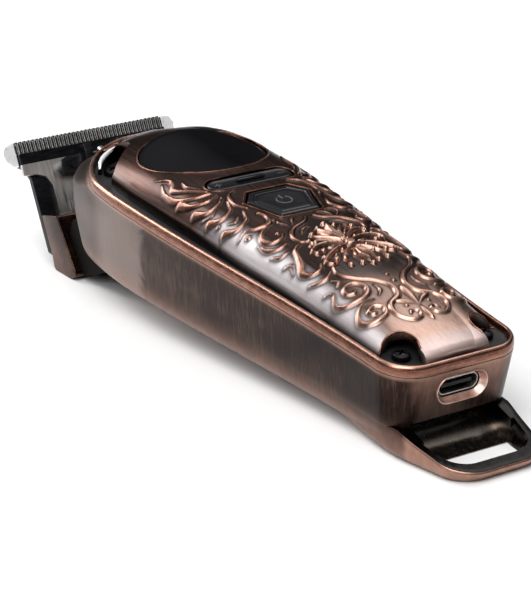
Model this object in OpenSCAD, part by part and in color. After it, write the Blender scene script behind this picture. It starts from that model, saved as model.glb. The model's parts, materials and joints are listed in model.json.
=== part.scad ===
// Cordless hair clipper with a T-shaped blade, drawn in millimetres.
// Every piece is drawn in the body's own axes: X across, Y from the tail to the blade,
// Z up from the floor of the housing. place() then tips the whole clipper onto its loop and chin.

/* [Body] */
// Length of the rim from the tail face to the front edge
body_l = 115; // [114:0.5:116]
// Half width at the tail corners
tail_w = 14.5; // [14:0.1:15]
// Half width at the widest place
wide_w = 21; // [20.4:0.1:21.6]
// Distance from the tail face to the widest place
wide_y = 88; // [86:1:90]
// Radius of the tail corners in plan
tail_r = 7; // [6:0.5:7.5]
// Height of the plane where the rim meets the housing
part_z = 17.3; // [17.1:0.1:17.6]
// Wall thickness of the housing
wall_t = 1.6; // [1.4:0.1:1.8]
// Slope of the side walls, in degrees
draft = 6.5; // [6:0.5:7]
// Radius of the rounded lower edge
edge_r = 5; // [4.5:0.5:5.5]
// Height of the floor at the tail face
floor_z = 1.5; // [1.4:0.1:1.7]
// Fall of the floor towards the nose, in degrees
floor_fall = 2.4; // [2:0.2:2.6]
// How far the nose stands ahead of the rim
nose_out = 5.9; // [5.5:0.1:6.1]

/* [Top cover] */
// Height of the crown at its highest place
crown_z = 26.3; // [26:0.1:26.6]
// Width of the cover as a share of the rim's width
cover_share = 0.83; // [0.81:0.01:0.84]
// Thickness of the cover
cover_t = 1.4; // [1.2:0.1:1.5]

/* [Display and buttons] */
// Half width of the display lens
lens_w = 13.5; // [13.1:0.1:13.7]
// Distance from the tail face to the widest place of the lens
lens_y = 88.8; // [88.4:0.1:89.2]
// Reach of the lens ahead of its widest place
lens_front = 10.4; // [10:0.1:10.8]
// Reach of the lens behind its widest place
lens_rear = 12.4; // [12:0.1:12.6]
// Length of the rocker button
rocker_l = 19; // [18.6:0.2:20]
// Width of the rocker button
rocker_w = 4.8; // [4.4:0.1:5]
// Distance from the tail face to the rocker button
rocker_y = 70.9; // [70.6:0.1:71.2]
// Tilt of the rocker button each way, in degrees
rocker_tilt = 2.5; // [2:0.1:2.5]
// Distance from the tail face to the power button
power_y = 58.6; // [58.4:0.1:58.8]
// Travel of the power button
power_travel = 0.5; // [0.3:0.1:0.5]

/* [Drive] */
// Height of the motor's axis
motor_z = 9; // [8.9:0.1:9.1]
// Diameter of the motor
motor_d = 18; // [17:0.5:18]
// Diameter of the motor shaft
shaft_d = 2; // [2:0.1:2.3]
// Offset of the eccentric pin from the shaft
eccentric = 1; // [0.8:0.1:1]
// Diameter of the eccentric pin
pin_d = 2; // [1.8:0.1:2]
// Diameter of the battery cell
cell_d = 14.2; // [13.8:0.1:14.4]
// Length of the battery cell
cell_l = 50; // [48:1:50]

/* [Blade] */
// Angle of the blade from the body, in degrees
blade_a = 56.5; // [56:0.5:57]
// Half width of the T bar
bar_w = 21.2; // [20.8:0.1:21.4]
// Half width of the fixed blade's stem
stem_w = 16; // [15.5:0.1:16.2]
// Length of the blade from the chin to the tooth tips
blade_l = 25; // [24.6:0.1:25.2]
// Thickness of the fixed blade
fixed_t = 1.4; // [1.2:0.1:1.4]
// Distance from tooth to tooth
tooth_pitch = 1; // [0.95:0.05:1]
// Number of gaps between the teeth
tooth_gaps = 37; // [35:2:37]

/* [Hidden] */

// The clipper stands on its loop and its chin, which tips the body by rest_pitch.
rest_pitch = 5.84;
// Height of the table under the tail face, in the body's axes
rest_z0 = 1.07;
// Middle of the standing clipper's length
rest_mid_y = 60.29;
eps = 0.01;
fit_gap = 0.05;
$fn = 64;

copper_dark = [0.30, 0.22, 0.19];
copper = [0.60, 0.40, 0.32];
black = [0.07, 0.07, 0.08];
steel = [0.75, 0.75, 0.76];
green = [0.10, 0.30, 0.18];

// ---- Plan of the body ----
shoulder_y = body_l - 13.5;
corner_in = 10.8;
corner_p = 1.4;
side_bulge = 0.0047;
round_y = 95;
round_p = 1.5;

function blend(t) = 0.45 * t + 0.275 * (1 - cos(180 * t));
function side_w(y) = y < wide_y
    ? tail_w + (wide_w - tail_w) * blend((y - tail_r) / (wide_y - tail_r))
    : wide_w - side_bulge * pow(y - wide_y, 2);
function corner_drop(t) = corner_in * (1 - pow(1 - pow(t, corner_p), 1 / corner_p));
function tail_pts() = [for (a = [0:15:90])
    [tail_w - tail_r + tail_r * sin(a), tail_r - tail_r * cos(a)]];
function side_pts(front) = [for (i = [1:9])
    let (y = tail_r + (front - tail_r) * i / 10) [side_w(y), y]];
function nose_pts(front, reach) = [for (i = [0:8])
    let (t = sin(90 * i / 8)) [side_w(front) - corner_drop(t), front + reach * t]];
// Right half of the nose's outline, with its front moved by shift
function nose_half(shift) = concat(tail_pts(), side_pts(shoulder_y + shift),
    nose_pts(shoulder_y + shift, body_l - shoulder_y));
// Right half of the outline at the rim, which is rounder across the front
function rim_half() = concat(tail_pts(), side_pts(round_y),
    [for (i = [0:9]) let (t = sin(10 * i)) [side_w(round_y) * sqrt(1 - pow(t, round_p)),
        round_y + (body_l - round_y) * t]]);
function mirrored(pts) = concat(pts, [for (i = [len(pts) - 1:-1:0])
    if (pts[i][0] > eps) [-pts[i][0], pts[i][1]]]);

module rim_plan(inset) {
    offset(delta = -inset) polygon(mirrored(rim_half()));
}

module rim_slice(z, inset) {
    translate([0, 0, z]) linear_extrude(eps) rim_plan(inset);
}

module nose_slice(z, inset, shift) {
    translate([0, 0, z]) linear_extrude(eps) offset(delta = -inset) polygon(mirrored(nose_half(shift)));
}

// ---- Helpers ----
module place() {
    translate([0, -rest_mid_y, -rest_z0 * cos(rest_pitch)]) rotate([rest_pitch, 0, 0]) children();
}

// Axes whose z = 0 is the table
module table_frame() {
    rotate([-rest_pitch, 0, 0]) translate([0, 0, rest_z0 * cos(rest_pitch)]) children();
}

// Axes on the blade: X across, Y up the blade, Z from the skin side towards the body
blade_foot = [0, 123.1, -8.9];
module blade_frame() {
    translate(blade_foot) rotate([blade_a, 0, 0]) children();
}

module both_sides() {
    children();
    mirror([1, 0, 0]) children();
}

// A straight cylinder along Y
module rod(d, y0, y1, x = 0, z = 0) {
    translate([x, y1, z]) rotate([90, 0, 0]) cylinder(d = d, h = y1 - y0);
}

module stadium(l, w) {
    square([l - w, w], center = true);
    translate([(l - w) / 2, 0]) circle(d = w);
    translate([(w - l) / 2, 0]) circle(d = w);
}

// A profile of [y, z] points, pushed across the body from -half to half
module across(pts, half) {
    rotate([90, 0, 90]) translate([0, 0, -half]) linear_extrude(2 * half) polygon(pts);
}

module box(lo, hi) {
    translate(lo) cube(hi - lo);
}

function floor_at(y) = floor_z - y * tan(floor_fall);

// ---- Housing ----
nose_top_z = 14;
nose_low_z = 7;
nose_lean = 1.2;

// The closed form of the housing, pulled in by inset on every side
module housing_form(inset = 0) {
    low_r = edge_r - inset;
    hull() {
        rim_slice(part_z - eps, inset);
        nose_slice(nose_top_z, inset + (part_z - nose_top_z) * tan(draft), nose_out - nose_lean);
        nose_slice(11, inset + (part_z - 11) * tan(draft), nose_out);
        nose_slice(nose_low_z, inset + (part_z - nose_low_z) * tan(draft), nose_out);
        rotate([-floor_fall, 0, 0]) for (a = [0:30:90])
            nose_slice(floor_z + inset + low_r * (1 - sin(a)),
                inset + 1.5 + low_r * (1 - cos(a)), 2.5 - 13 * pow(a / 90, 2));
    }
}

loop_w = 12.6;
loop_rear_y = -14.4;
loop_root_y = 4;
loop_root_h = 6.1;
loop_rear_h = 2.2;
loop_r = 6.4;
hole_w = 9;
hole_rear_y = -11.4;
hole_front_y = -3.2;
scoop_w = 9.6;
scoop_r = 3.4;
scoop_y = -0.4;
scoop_z = 4.9;
lip_z = 1.1;

function arc(cx, cy, r, a0, a1, n) = [for (i = [0:n])
    let (a = a0 + (a1 - a0) * i / n) [cx + r * cos(a), cy + r * sin(a)]];

// Outline with a straight front and a rounded rear
module round_rear(w, rear, front, r, taper) {
    polygon(mirrored(concat([[w, front]], arc(w - taper - r, rear + r, r, 0, -90, 6))));
}

module loop_slab(z0, z1, inset) {
    translate([0, 0, z0]) linear_extrude(z1 - z0)
        round_rear(loop_w - inset, loop_rear_y + inset * 0.7, loop_root_y, loop_r - inset, 1.6);
}

module loop_solid() {
    table_frame() difference() {
        hull() {
            loop_slab(0, eps, 1.7);
            loop_slab(1.6, 1.7, 0.4);
            loop_slab(2.6, loop_root_h, 0);
        }
        across([[loop_rear_y - 1, loop_rear_h - 0.25], [loop_rear_y, loop_rear_h], [1.4, loop_root_h],
            [1.4, loop_root_h + 5], [loop_rear_y - 1, loop_root_h + 5]], loop_w + 5);
    }
}

// Scoop under the tail face and the hole through the loop
module loop_room() {
    translate([-scoop_w, scoop_y, scoop_z]) rotate([0, 90, 0]) cylinder(r = scoop_r, h = 2 * scoop_w);
    box([-scoop_w, hole_front_y - 0.6, lip_z + 0.5], [scoop_w, scoop_y, scoop_z + scoop_r + 2]);
    table_frame() translate([0, 0, -1]) linear_extrude(12)
        round_rear(hole_w, hole_rear_y, hole_front_y, 4.5, 0.5);
}

usb_z = 13.5;
usb_l = 8.94;
usb_h = 3.26;

module usb_opening() {
    rotate([90, 0, 0]) translate([0, usb_z, -4]) linear_extrude(6) stadium(usb_l + 0.2, usb_h + 0.2);
    rotate([90, 0, 0]) translate([0, usb_z, -1.3]) linear_extrude(3) stadium(usb_l + 1.9, usb_h + 1.9);
}

rear_screw = [9.1, 6.6];
front_screw = [14, 100.3];
boss_d = 4.6;
screw_d = 1.8;
boss_top = 16.1;

module at_screws() {
    both_sides() {
        translate([rear_screw[0], rear_screw[1], 0]) children();
        translate([front_screw[0], front_screw[1], 0]) children();
    }
}

module at_neck_screws() {
    both_sides() translate([9, 112, 0]) rotate([-30, 0, 0]) children();
}

nose_hole_d = 9;
nose_face = body_l + nose_out - (part_z - motor_z) * tan(draft);

module lower_housing() {
    color(copper_dark) place() difference() {
        union() {
            difference() {
                housing_form();
                housing_form(wall_t);
                translate([0, 0, part_z - wall_t - 1]) linear_extrude(wall_t + 2) rim_plan(wall_t + 0.1);
            }
            intersection() {
                housing_form();
                union() {
                    at_screws() translate([0, 0, -4]) cylinder(d = boss_d, h = boss_top + 4);
                    box([-scoop_w - 1, 0, 0], [scoop_w + 1, 5, 10]);
                }
            }
            loop_solid();
        }
        at_screws() translate([0, 0, boss_top - 9]) cylinder(d = screw_d + 2 * fit_gap, h = 12);
        usb_opening();
        loop_room();
        rod(nose_hole_d, shoulder_y, nose_face + 2, 0, motor_z);
        at_neck_screws() translate([0, 0, -4]) cylinder(d = neck_screw_d + 2 * fit_gap, h = 7);
    }
}

// ---- Rim frame: a band on the housing's edge, wider across the nose ----
rim_h = 2.2;
rim_t = 1.1;
tongue_w = 7;
cover_front_y = 111.6;

// The wide part of the rim, round the cover's tongue
module front_block() {
    both_sides() polygon([[0, cover_front_y + 0.1], [tongue_w + 0.1, cover_front_y + 0.1],
        [tongue_w + 0.1, 109.2], [10, 109.6], [12.6, 109.9], [19, 118], [0, 118]]);
}

module rim_frame() {
    color(copper) place() difference() {
        hull() {
            rim_slice(part_z, 0.12);
            rim_slice(part_z + 0.35, 0);
            rim_slice(part_z + rim_h - 0.9, 0.05);
            rim_slice(part_z + rim_h - 0.3, 0.2);
            rim_slice(part_z + rim_h, 0.5);
        }
        translate([0, 0, part_z - 1]) linear_extrude(rim_h + 2) difference() {
            rim_plan(rim_t);
            front_block();
        }
    }
}

// ---- Inner chassis ----
chassis_z = 16.2;
chassis_top = 18.2;

// Openings over the battery and the motor, with ribs between them that carry the circuit board
module chassis_opening() {
    intersection() {
        rim_plan(6);
        union() {
            translate([-20, 12]) square([40, 35]);
            translate([-20, 50]) square([40, 24]);
            translate([-6, 76]) square([12, 30]);
        }
    }
}

module inner_chassis() {
    color(black) place() difference() {
        union() {
            translate([0, 0, chassis_z]) linear_extrude(chassis_top - chassis_z) rim_plan(wall_t + 0.25);
            translate([0, 0, part_z]) linear_extrude(chassis_top - part_z)
                difference() { rim_plan(rim_t + fit_gap); rim_plan(wall_t + 1); }
        }
        translate([0, 0, chassis_z - 1]) linear_extrude(5) {
            chassis_opening();
            offset(delta = fit_gap) front_block();
        }
        rod(cell_d + 0.3, cell_y - 1, cell_y + cell_l + 1, 0, cell_z);
        at_screws() translate([0, 0, chassis_z - 1]) cylinder(d = screw_d + 4 * fit_gap, h = 5);
    }
}

// ---- Top cover ----
cover_base = chassis_top + 0.02;
cover_y0 = 1.9;
cover_r = 5.8;
corner_c = [6.6, 94.7];
corner_r = 12.2;
notch_lip = 0.8;
crown_mid = 62;
crown_tail = 5.7;

function crown_at(y) = y < crown_mid
    ? crown_z - crown_tail * pow(1 - (y - cover_y0) / (crown_mid - cover_y0), 3)
    : crown_z - 2.2 * pow((y - crown_mid) / 52, 2) - 5.2 * pow((y - crown_mid) / 52, 8);

// One cross section of the crown, with its rounded shoulders
function crown_section(w, z, base) =
    let (h = max(0.3, min(6, 0.92 * (z - base))), s = 0.58 * w)
    concat([[w, base]],
        [for (a = [0:18:90]) [w - s + s * cos(a), z - 0.3 - h + h * sin(a)]],
        [[0, z]],
        [for (a = [90:-18:0]) [s - w - s * cos(a), z - 0.3 - h + h * sin(a)]],
        [[-w, base]]);

// Half width of the cover's outline
function cover_w(y) = y < cover_y0 + cover_r
    ? cover_share * tail_w - cover_r + sqrt(pow(cover_r, 2) - pow(cover_r + cover_y0 - y, 2))
    : y < corner_c[1] ? cover_share * side_w(y)
    : max(tongue_w, min(cover_share * side_w(y),
        corner_c[0] + sqrt(max(0, pow(corner_r, 2) - pow(y - corner_c[1], 2)))));
cover_l = cover_front_y - cover_y0;
crown_stations = [0, 0.5, 1.4, 3, 5.8, 10, 17, 26, 38, 50, 62, 74, 86, 93, 97, 100, 103, 105, 107, cover_l];

module crown_form(inset, down) {
    hull() for (s = crown_stations)
        let (y = cover_y0 + s, end = 1 - 2 * s / cover_l)
            translate([0, y + inset * end, 0]) rotate([90, 0, 0]) linear_extrude(eps)
                polygon(crown_section(cover_w(y) - inset, crown_at(y) - down, cover_base));
}

module cover_outline() {
    polygon(mirrored(concat(
        arc(cover_share * tail_w - cover_r, cover_y0 + cover_r, cover_r, -90, 0, 6),
        [for (y = [20:13:98]) [cover_share * side_w(y), y]],
        arc(corner_c[0], corner_c[1], corner_r, 32, 86, 6),
        [[tongue_w, cover_front_y]])));
}

// The part of each shoulder beyond a straight cut across the front corner
module front_notch() {
    intersection() {
        offset(delta = -notch_lip) cover_outline();
        translate(corner_c) circle(r = corner_r - notch_lip);
        translate([14, 97.2]) rotate(-39) translate([-12, 0]) square([24, 20]);
        translate([9, 90]) square(20);
    }
}

// Pocket over the rear screw, open to the rear and to the side
module rear_notch() {
    translate(rear_screw + [0.5, 0]) circle(d = 6.6);
    translate([rear_screw[0] - 2.2, -5]) square([10, 9.8]);
    translate(rear_screw + [0.5, -2.4]) square([10, 4.2]);
}

module notches() {
    both_sides() {
        front_notch();
        rear_notch();
    }
}

function lens_pts(grow) = [for (a = [0:9:351]) [(lens_w + grow) * cos(a),
    lens_y + ((a < 180 ? lens_front : lens_rear) + grow) * sin(a)]];

// Six-sided outline, widest towards the blade
function power_pts(grow) = [for (p = [[4.4, 5.9], [7.1, 2.3], [4.4, -5.9], [-4.4, -5.9], [-7.1, 2.3],
    [-4.4, 5.9]]) p * (1 + grow / 6)];

module openings_in_cover() {
    polygon(lens_pts(fit_gap));
    translate([0, rocker_y]) stadium(rocker_l + 0.8, rocker_w + 0.8);
    translate([0, power_y]) polygon(power_pts(0.35));
    notches();
}

module top_cover() {
    color(copper_dark) place() difference() {
        intersection() {
            crown_form(-0.4, 0);
            translate([0, 0, cover_base]) linear_extrude(12) cover_outline();
        }
        intersection() {
            translate([0, 0, -1]) crown_form(cover_t - 0.4, cover_t - 1);
            translate([0, 0, 10]) linear_extrude(20) difference() {
                offset(delta = -cover_t) cover_outline();
                offset(delta = cover_t) notches();
            }
        }
        translate([0, 0, 10]) linear_extrude(20) openings_in_cover();
    }
}

// ---- Screws ----
module pan_screw(d, l, head_d, head_h) {
    translate([0, 0, -l]) cylinder(d = d, h = l);
    difference() {
        cylinder(d = head_d, h = head_h);
        for (a = [0, 90]) rotate(a) translate([-head_d * 0.3, -0.25, head_h * 0.4])
            cube([head_d * 0.6, 0.5, head_h]);
    }
}

module cover_screws() {
    color(black) place() at_screws() translate([0, 0, chassis_top]) pan_screw(screw_d, 9, 3.4, 1.3);
}

// ---- Display ----
lens_t = 1;
lens_top = 25.8;
lens_dome_r = 47.6;

module lens_dome(d) {
    rod(d, lens_y - lens_rear - 1, lens_y + lens_front + 1, 0, lens_top - lens_dome_r);
}

module display_lens() {
    color(black) place() intersection() {
        translate([0, 0, lens_top - 4]) linear_extrude(6) polygon(lens_pts(0));
        difference() {
            lens_dome(2 * lens_dome_r);
            lens_dome(2 * (lens_dome_r - lens_t));
        }
    }
}

pcb_z = 20.2;
pcb_t = 1;
pcb_top = pcb_z + pcb_t;
display_top = 23.98;

module display_module() {
    color(black) place() {
        box([-9.5, 82, pcb_top], [9.5, 96, 22.8]);
        box([-8.6, 83, 22.8], [8.6, 95, display_top]);
    }
}

// ---- Electronics ----
module main_pcb() {
    color(green) place() difference() {
        union() {
            box([-11, 46, pcb_z], [11, 98, pcb_top]);
            both_sides() {
                box([9.4, 47.2, chassis_top], [11, 49.8, pcb_z]);
                box([9.4, 88, chassis_top], [11, 91, pcb_z]);
            }
        }
        both_sides() translate([7, 48.5, pcb_z - 1]) cylinder(d = 1.6, h = 3);
    }
}

switch_h = 1.6;
switch_x = 7;
actuator_top = 23.1;

module tact_switch(x, y) {
    box([x - 2.2, y - 1.8, pcb_top], [x + 2.2, y + 1.8, pcb_top + switch_h]);
    translate([x, y, pcb_top + switch_h]) cylinder(d = 1.8, h = actuator_top - pcb_top - switch_h);
}

module tact_switches() {
    color(steel) place() {
        tact_switch(0, power_y);
        tact_switch(switch_x, rocker_y);
        tact_switch(-switch_x, rocker_y);
    }
}

usb_y = 1.4;

module usb_shell() {
    color(steel) place() rotate([90, 0, 0]) translate([0, usb_z, -usb_y - 7]) linear_extrude(7)
        difference() { stadium(usb_l, usb_h); stadium(usb_l - 0.6, usb_h - 0.6); }
}

module usb_tongue() {
    color(black) place() {
        box([-3.3, usb_y + 0.5, usb_z - 0.35], [3.3, usb_y + 6.8, usb_z + 0.35]);
        rotate([90, 0, 0]) translate([0, usb_z, -usb_y - 7]) linear_extrude(0.7)
            stadium(usb_l - 0.62, usb_h - 0.62);
    }
}

module usb_board() {
    color(green) place() box([-6, 3, usb_z - usb_h / 2 - 0.82], [6, 12, usb_z - usb_h / 2 - 0.02]);
}

// ---- Battery ----
cell_y = 15;
cell_z = 10.2;

module battery_cell() {
    color([0.25, 0.35, 0.60]) place() {
        rod(cell_d, cell_y, cell_y + cell_l, 0, cell_z);
        rod(5, cell_y + cell_l, cell_y + cell_l + 0.8, 0, cell_z);
    }
}

module battery_cradle() {
    y0 = cell_y + 5;
    y1 = cell_y + cell_l - 5;
    color(black) place() difference() {
        across([[y0, floor_at(y0) + wall_t + 0.03], [y1, floor_at(y1) + wall_t + 0.03],
            [y1, 7], [y0, 7]], 7.6);
        rod(cell_d + 0.1, y0 - 1, y1 + 1, 0, cell_z);
        box([-9, y0 + 8, 5], [9, y1 - 8, 9]);
    }
}

module battery_tabs() {
    color(steel) place() {
        box([-2, cell_y - 0.32, cell_z - 4], [2, cell_y - 0.02, cell_z + 6]);
        box([-2, cell_y + cell_l + 0.82, cell_z - 2], [2, cell_y + cell_l + 1.12, cell_z + 8]);
    }
}

// ---- Motor ----
motor_y0 = 78;
motor_y1 = 104;
can_t = 1;
bush_d = 5;
cap_t = 2.4;
run_gap = 0.04;

module motor_can() {
    color(steel) place() difference() {
        rod(motor_d, motor_y0 + cap_t, motor_y1, 0, motor_z);
        rod(motor_d - 2 * can_t, motor_y0, motor_y1 - can_t, 0, motor_z);
        rod(bush_d, motor_y0, motor_y1 + 1, 0, motor_z);
    }
}

module motor_end_cap() {
    color(black) place() difference() {
        union() {
            rod(motor_d, motor_y0, motor_y0 + cap_t - 0.02, 0, motor_z);
            rod(motor_d - 2 * can_t - 0.1, motor_y0 + 1, motor_y0 + cap_t + 1.5, 0, motor_z);
        }
        rod(bush_d, motor_y0 - 1, motor_y0 + cap_t + 3, 0, motor_z);
        rod(13, motor_y0 + 1.6, motor_y0 + cap_t + 3, 0, motor_z);
    }
}

module bush(y0, y1) {
    difference() {
        rod(bush_d, y0, y1, 0, motor_z);
        rod(shaft_d + 2 * run_gap, y0 - 1, y1 + 1, 0, motor_z);
    }
}

module motor_bushes() {
    color([0.72, 0.55, 0.25]) place() {
        bush(motor_y0, motor_y0 + 1.6);
        bush(motor_y1 - can_t, motor_y1 + 1.2);
    }
}

module saddle(y0, y1) {
    difference() {
        across([[y0, floor_at(y0) + wall_t + 0.03], [y1, floor_at(y1) + wall_t + 0.03],
            [y1, motor_z], [y0, motor_z]], motor_d / 2 + 0.8);
        rod(motor_d + 0.1, y0 - 1, y1 + 1, 0, motor_z);
    }
}

module motor_saddle() {
    color(black) place() {
        saddle(motor_y0 + 5, motor_y0 + 8);
        saddle(motor_y0 + 14, motor_y0 + 17);
    }
}

module motor_brushes() {
    color([0.35, 0.25, 0.18]) place() both_sides()
        box([1.95, motor_y0 + 1.8, motor_z - 0.8], [3.4, motor_y0 + 3.4, motor_z + 0.8]);
}

module motor_shaft() {
    color(steel) place() rod(shaft_d, motor_y0 + 0.2, motor_y1 + 6, 0, motor_z);
}

core_y0 = motor_y0 + 7;
core_y1 = motor_y1 - 4;

module rotor_core() {
    color([0.55, 0.35, 0.20]) place() difference() {
        rod(motor_d - 2 * can_t - 1.6, core_y0, core_y1, 0, motor_z);
        rod(shaft_d, core_y0 - 1, core_y1 + 1, 0, motor_z);
        for (i = [0:4]) translate([0, 0, motor_z]) rotate([0, i * 72, 0])
            box([-0.6, core_y0 - 1, 3], [0.6, core_y1 + 1, motor_d]);
    }
}

module commutator() {
    color([0.72, 0.45, 0.25]) place() difference() {
        rod(3.6, motor_y0 + 1.8, motor_y0 + 4.4, 0, motor_z);
        rod(shaft_d, motor_y0 + 1, motor_y0 + 5, 0, motor_z);
    }
}

cam_d = 6.4;
cam_y0 = motor_y1 + 2;
cam_y1 = 122.4;
pin_y1 = 129.8;

module eccentric_cam() {
    color(steel) place() difference() {
        union() {
            rod(cam_d, cam_y0, cam_y1, 0, motor_z);
            rod(pin_d, cam_y1 - 1, pin_y1, 0, motor_z + eccentric);
        }
        rod(shaft_d, cam_y0 - 1, motor_y1 + 6, 0, motor_z);
    }
}

module shaft_seal() {
    color(black) place() difference() {
        rod(nose_hole_d, nose_face - wall_t + 0.1, nose_face - 0.2, 0, motor_z);
        rod(cam_d + 0.4, nose_face - 4, nose_face + 1, 0, motor_z);
    }
}

// ---- Head ----
function table_at(y) = rest_z0 - y * tan(rest_pitch);

neck_w = 14.4;
neck_screw_d = 2.1;

module head_neck() {
    color(black) place() difference() {
        across([[96, -2.6], [104, 3], [112, 4.5], [115.8, 1.8], [117.15, -1.7], [110.68, -8.95],
            [106, -6.8]], neck_w);
        housing_form(-0.03);
        rod(cam_d + 2, 110, 130, 0, motor_z);
        at_neck_screws() cylinder(d = neck_screw_d + 2 * fit_gap, h = 40, center = true);
    }
}

module neck_screws() {
    color(steel) place() at_neck_screws() translate([0, 0, -7]) cylinder(d = neck_screw_d, h = 8);
}

chin_rear = [110.7, -9];
chin_top = [120, 1.4];
recess_w = 13.4;
recess_t = 2.6;
recess_foot = 5;

// Point [y, z] on the blade's axes, up the blade and off its skin side
function on_blade(up, off) = [blade_foot[1] + up * cos(blade_a) - off * sin(blade_a),
    blade_foot[2] + up * sin(blade_a) + off * cos(blade_a)];

module blade_bracket() {
    back = fixed_t + 0.02;
    color(copper) place() difference() {
        across([chin_rear, chin_top, on_blade(8.6, back), on_blade(-0.6, back),
            [120.6, table_at(120.6)], [113.6, table_at(113.6)]], stem_w);
        blade_frame() box([-recess_w, recess_foot, 0], [recess_w, 12, back + recess_t]);
        blade_frame() both_sides() translate([8, 2.5, 0]) cylinder(d = screw_d + 0.1, h = 6);
    }
}

tooth_l = 2.4;
tip_in = 2.7;

module fixed_outline() {
    polygon(mirrored([[stem_w - 1.2, -0.9], [stem_w, 0.6], [stem_w, 16.6], [stem_w + 0.8, 18.8],
        [stem_w + 2.6, 19.9], [bar_w - 1.9, 19.9], [bar_w - 0.5, 21.2], [bar_w, 22.9],
        [bar_w - 0.8, blade_l - 0.5], [bar_w - tip_in, blade_l]]));
}

module tooth_slots(l) {
    for (i = [0:tooth_gaps - 1])
        translate([(i - (tooth_gaps - 1) / 2) * tooth_pitch - tooth_pitch * 0.23, blade_l - l, -1])
            cube([tooth_pitch * 0.46, l + 1, 6]);
}

module fixed_blade() {
    color(black) place() blade_frame() difference() {
        linear_extrude(fixed_t) fixed_outline();
        tooth_slots(tooth_l);
        both_sides() translate([8, 2.5, -1]) cylinder(d = screw_d + 0.2, h = 4);
    }
}

module blade_screws() {
    color(steel) place() blade_frame() both_sides()
        translate([8, 2.5, 0]) rotate([180, 0, 0]) pan_screw(screw_d, 6, 4, 0.8);
}

moving_z = fixed_t + 0.03;
moving_t = 0.9;
moving_w = 18;
moving_stem_w = 11.9;
moving_top = blade_l - 0.5;
block_z = moving_z + moving_t;
block_v = 17.5;

module moving_blade() {
    color(steel) place() blade_frame() translate([0, 0, moving_z]) difference() {
        linear_extrude(moving_t) polygon(mirrored([[moving_stem_w, recess_foot + 0.6],
            [moving_stem_w, 14.4], [moving_stem_w + 1, 16.4], [moving_stem_w + 3.2, 17.2],
            [moving_w, 17.4], [moving_w, moving_top]]));
        translate([0, -0.5, 0]) tooth_slots(tooth_l - 0.2);
    }
}

block_l = 20;
block_w = 4;
block_t = 2.4;
fork_gap = 2 * (pin_d / 2 + 2 * eccentric) + 0.3;
fork_w = 1.9;
fork_h = 5.2;

module drive_block() {
    color([0.25, 0.25, 0.27]) place() blade_frame() translate([0, block_v, block_z]) difference() {
        union() {
            linear_extrude(block_t) stadium(block_l, block_w);
            both_sides() box([fork_gap / 2, -1.6, 0], [fork_gap / 2 + fork_w, 3.6, fork_h]);
        }
        box([-fork_gap / 2, -3, 0.6], [fork_gap / 2, 6, 10]);
        both_sides() translate([7, 0, -1]) cylinder(d = 1.6, h = 6);
    }
}

module drive_rivets() {
    color(steel) place() blade_frame() both_sides()
        translate([7, block_v, block_z]) cylinder(d = 1.6, h = block_t + 0.3);
}

module blade_guide() {
    color(black) place() blade_frame()
        box([-9, recess_foot + 0.1, block_z + 0.06], [9, 10.4, fixed_t + recess_t - 0.02]);
}

// ---- Buttons ----
button_top = 26.4;
flange_z = actuator_top + power_travel + 0.05;
flange_t = 0.5;

module power_button() {
    color(black) place() translate([0, power_y, flange_z]) {
        linear_extrude(button_top - flange_z) polygon(power_pts(0));
        linear_extrude(flange_t) polygon(power_pts(1));
    }
}

pivot_z = 23.9;
pivot_d = 1.2;

module rocker_button() {
    color(black) place() translate([0, rocker_y, 0]) difference() {
        union() {
            translate([0, 0, 24.7]) linear_extrude(button_top - 24.7) stadium(rocker_l, rocker_w);
            both_sides() translate([switch_x, 0, actuator_top + switch_x * sin(rocker_tilt) + 0.1])
                cylinder(d = 2.4, h = 1.5);
            box([-1.5, -1.8, 22.9], [1.5, 1.8, 25]);
        }
        rod(pivot_d + 0.1, -3, 3, 0, pivot_z);
    }
}

module rocker_pivot() {
    color(steel) place() {
        rod(pivot_d, rocker_y - 3.4, rocker_y + 3.4, 0, pivot_z);
        for (side = [-1, 1]) difference() {
            box([-1.4, rocker_y + side * 2.7 - 0.6, pcb_top], [1.4, rocker_y + side * 2.7 + 0.6, 24.5]);
            rod(pivot_d, rocker_y - 4, rocker_y + 4, 0, pivot_z);
        }
    }
}

lower_housing();
rim_frame();
inner_chassis();
top_cover();
cover_screws();
display_lens();
display_module();
main_pcb();
tact_switches();
rocker_pivot();
usb_shell();
usb_tongue();
usb_board();
battery_cell();
battery_cradle();
battery_tabs();
motor_can();
motor_end_cap();
motor_bushes();
motor_saddle();
motor_brushes();
shaft_seal();
head_neck();
neck_screws();
blade_bracket();
fixed_blade();
blade_screws();
blade_guide();
motor_shaft();
rotor_core();
commutator();
eccentric_cam();
moving_blade();
drive_block();
drive_rivets();
power_button();
rocker_button();
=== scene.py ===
"""Looks of a cordless hair clipper in brushed antique copper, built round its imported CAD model."""

import json
import math

import bmesh
import bpy
import numpy as np
from mathutils import Matrix, Vector


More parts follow.
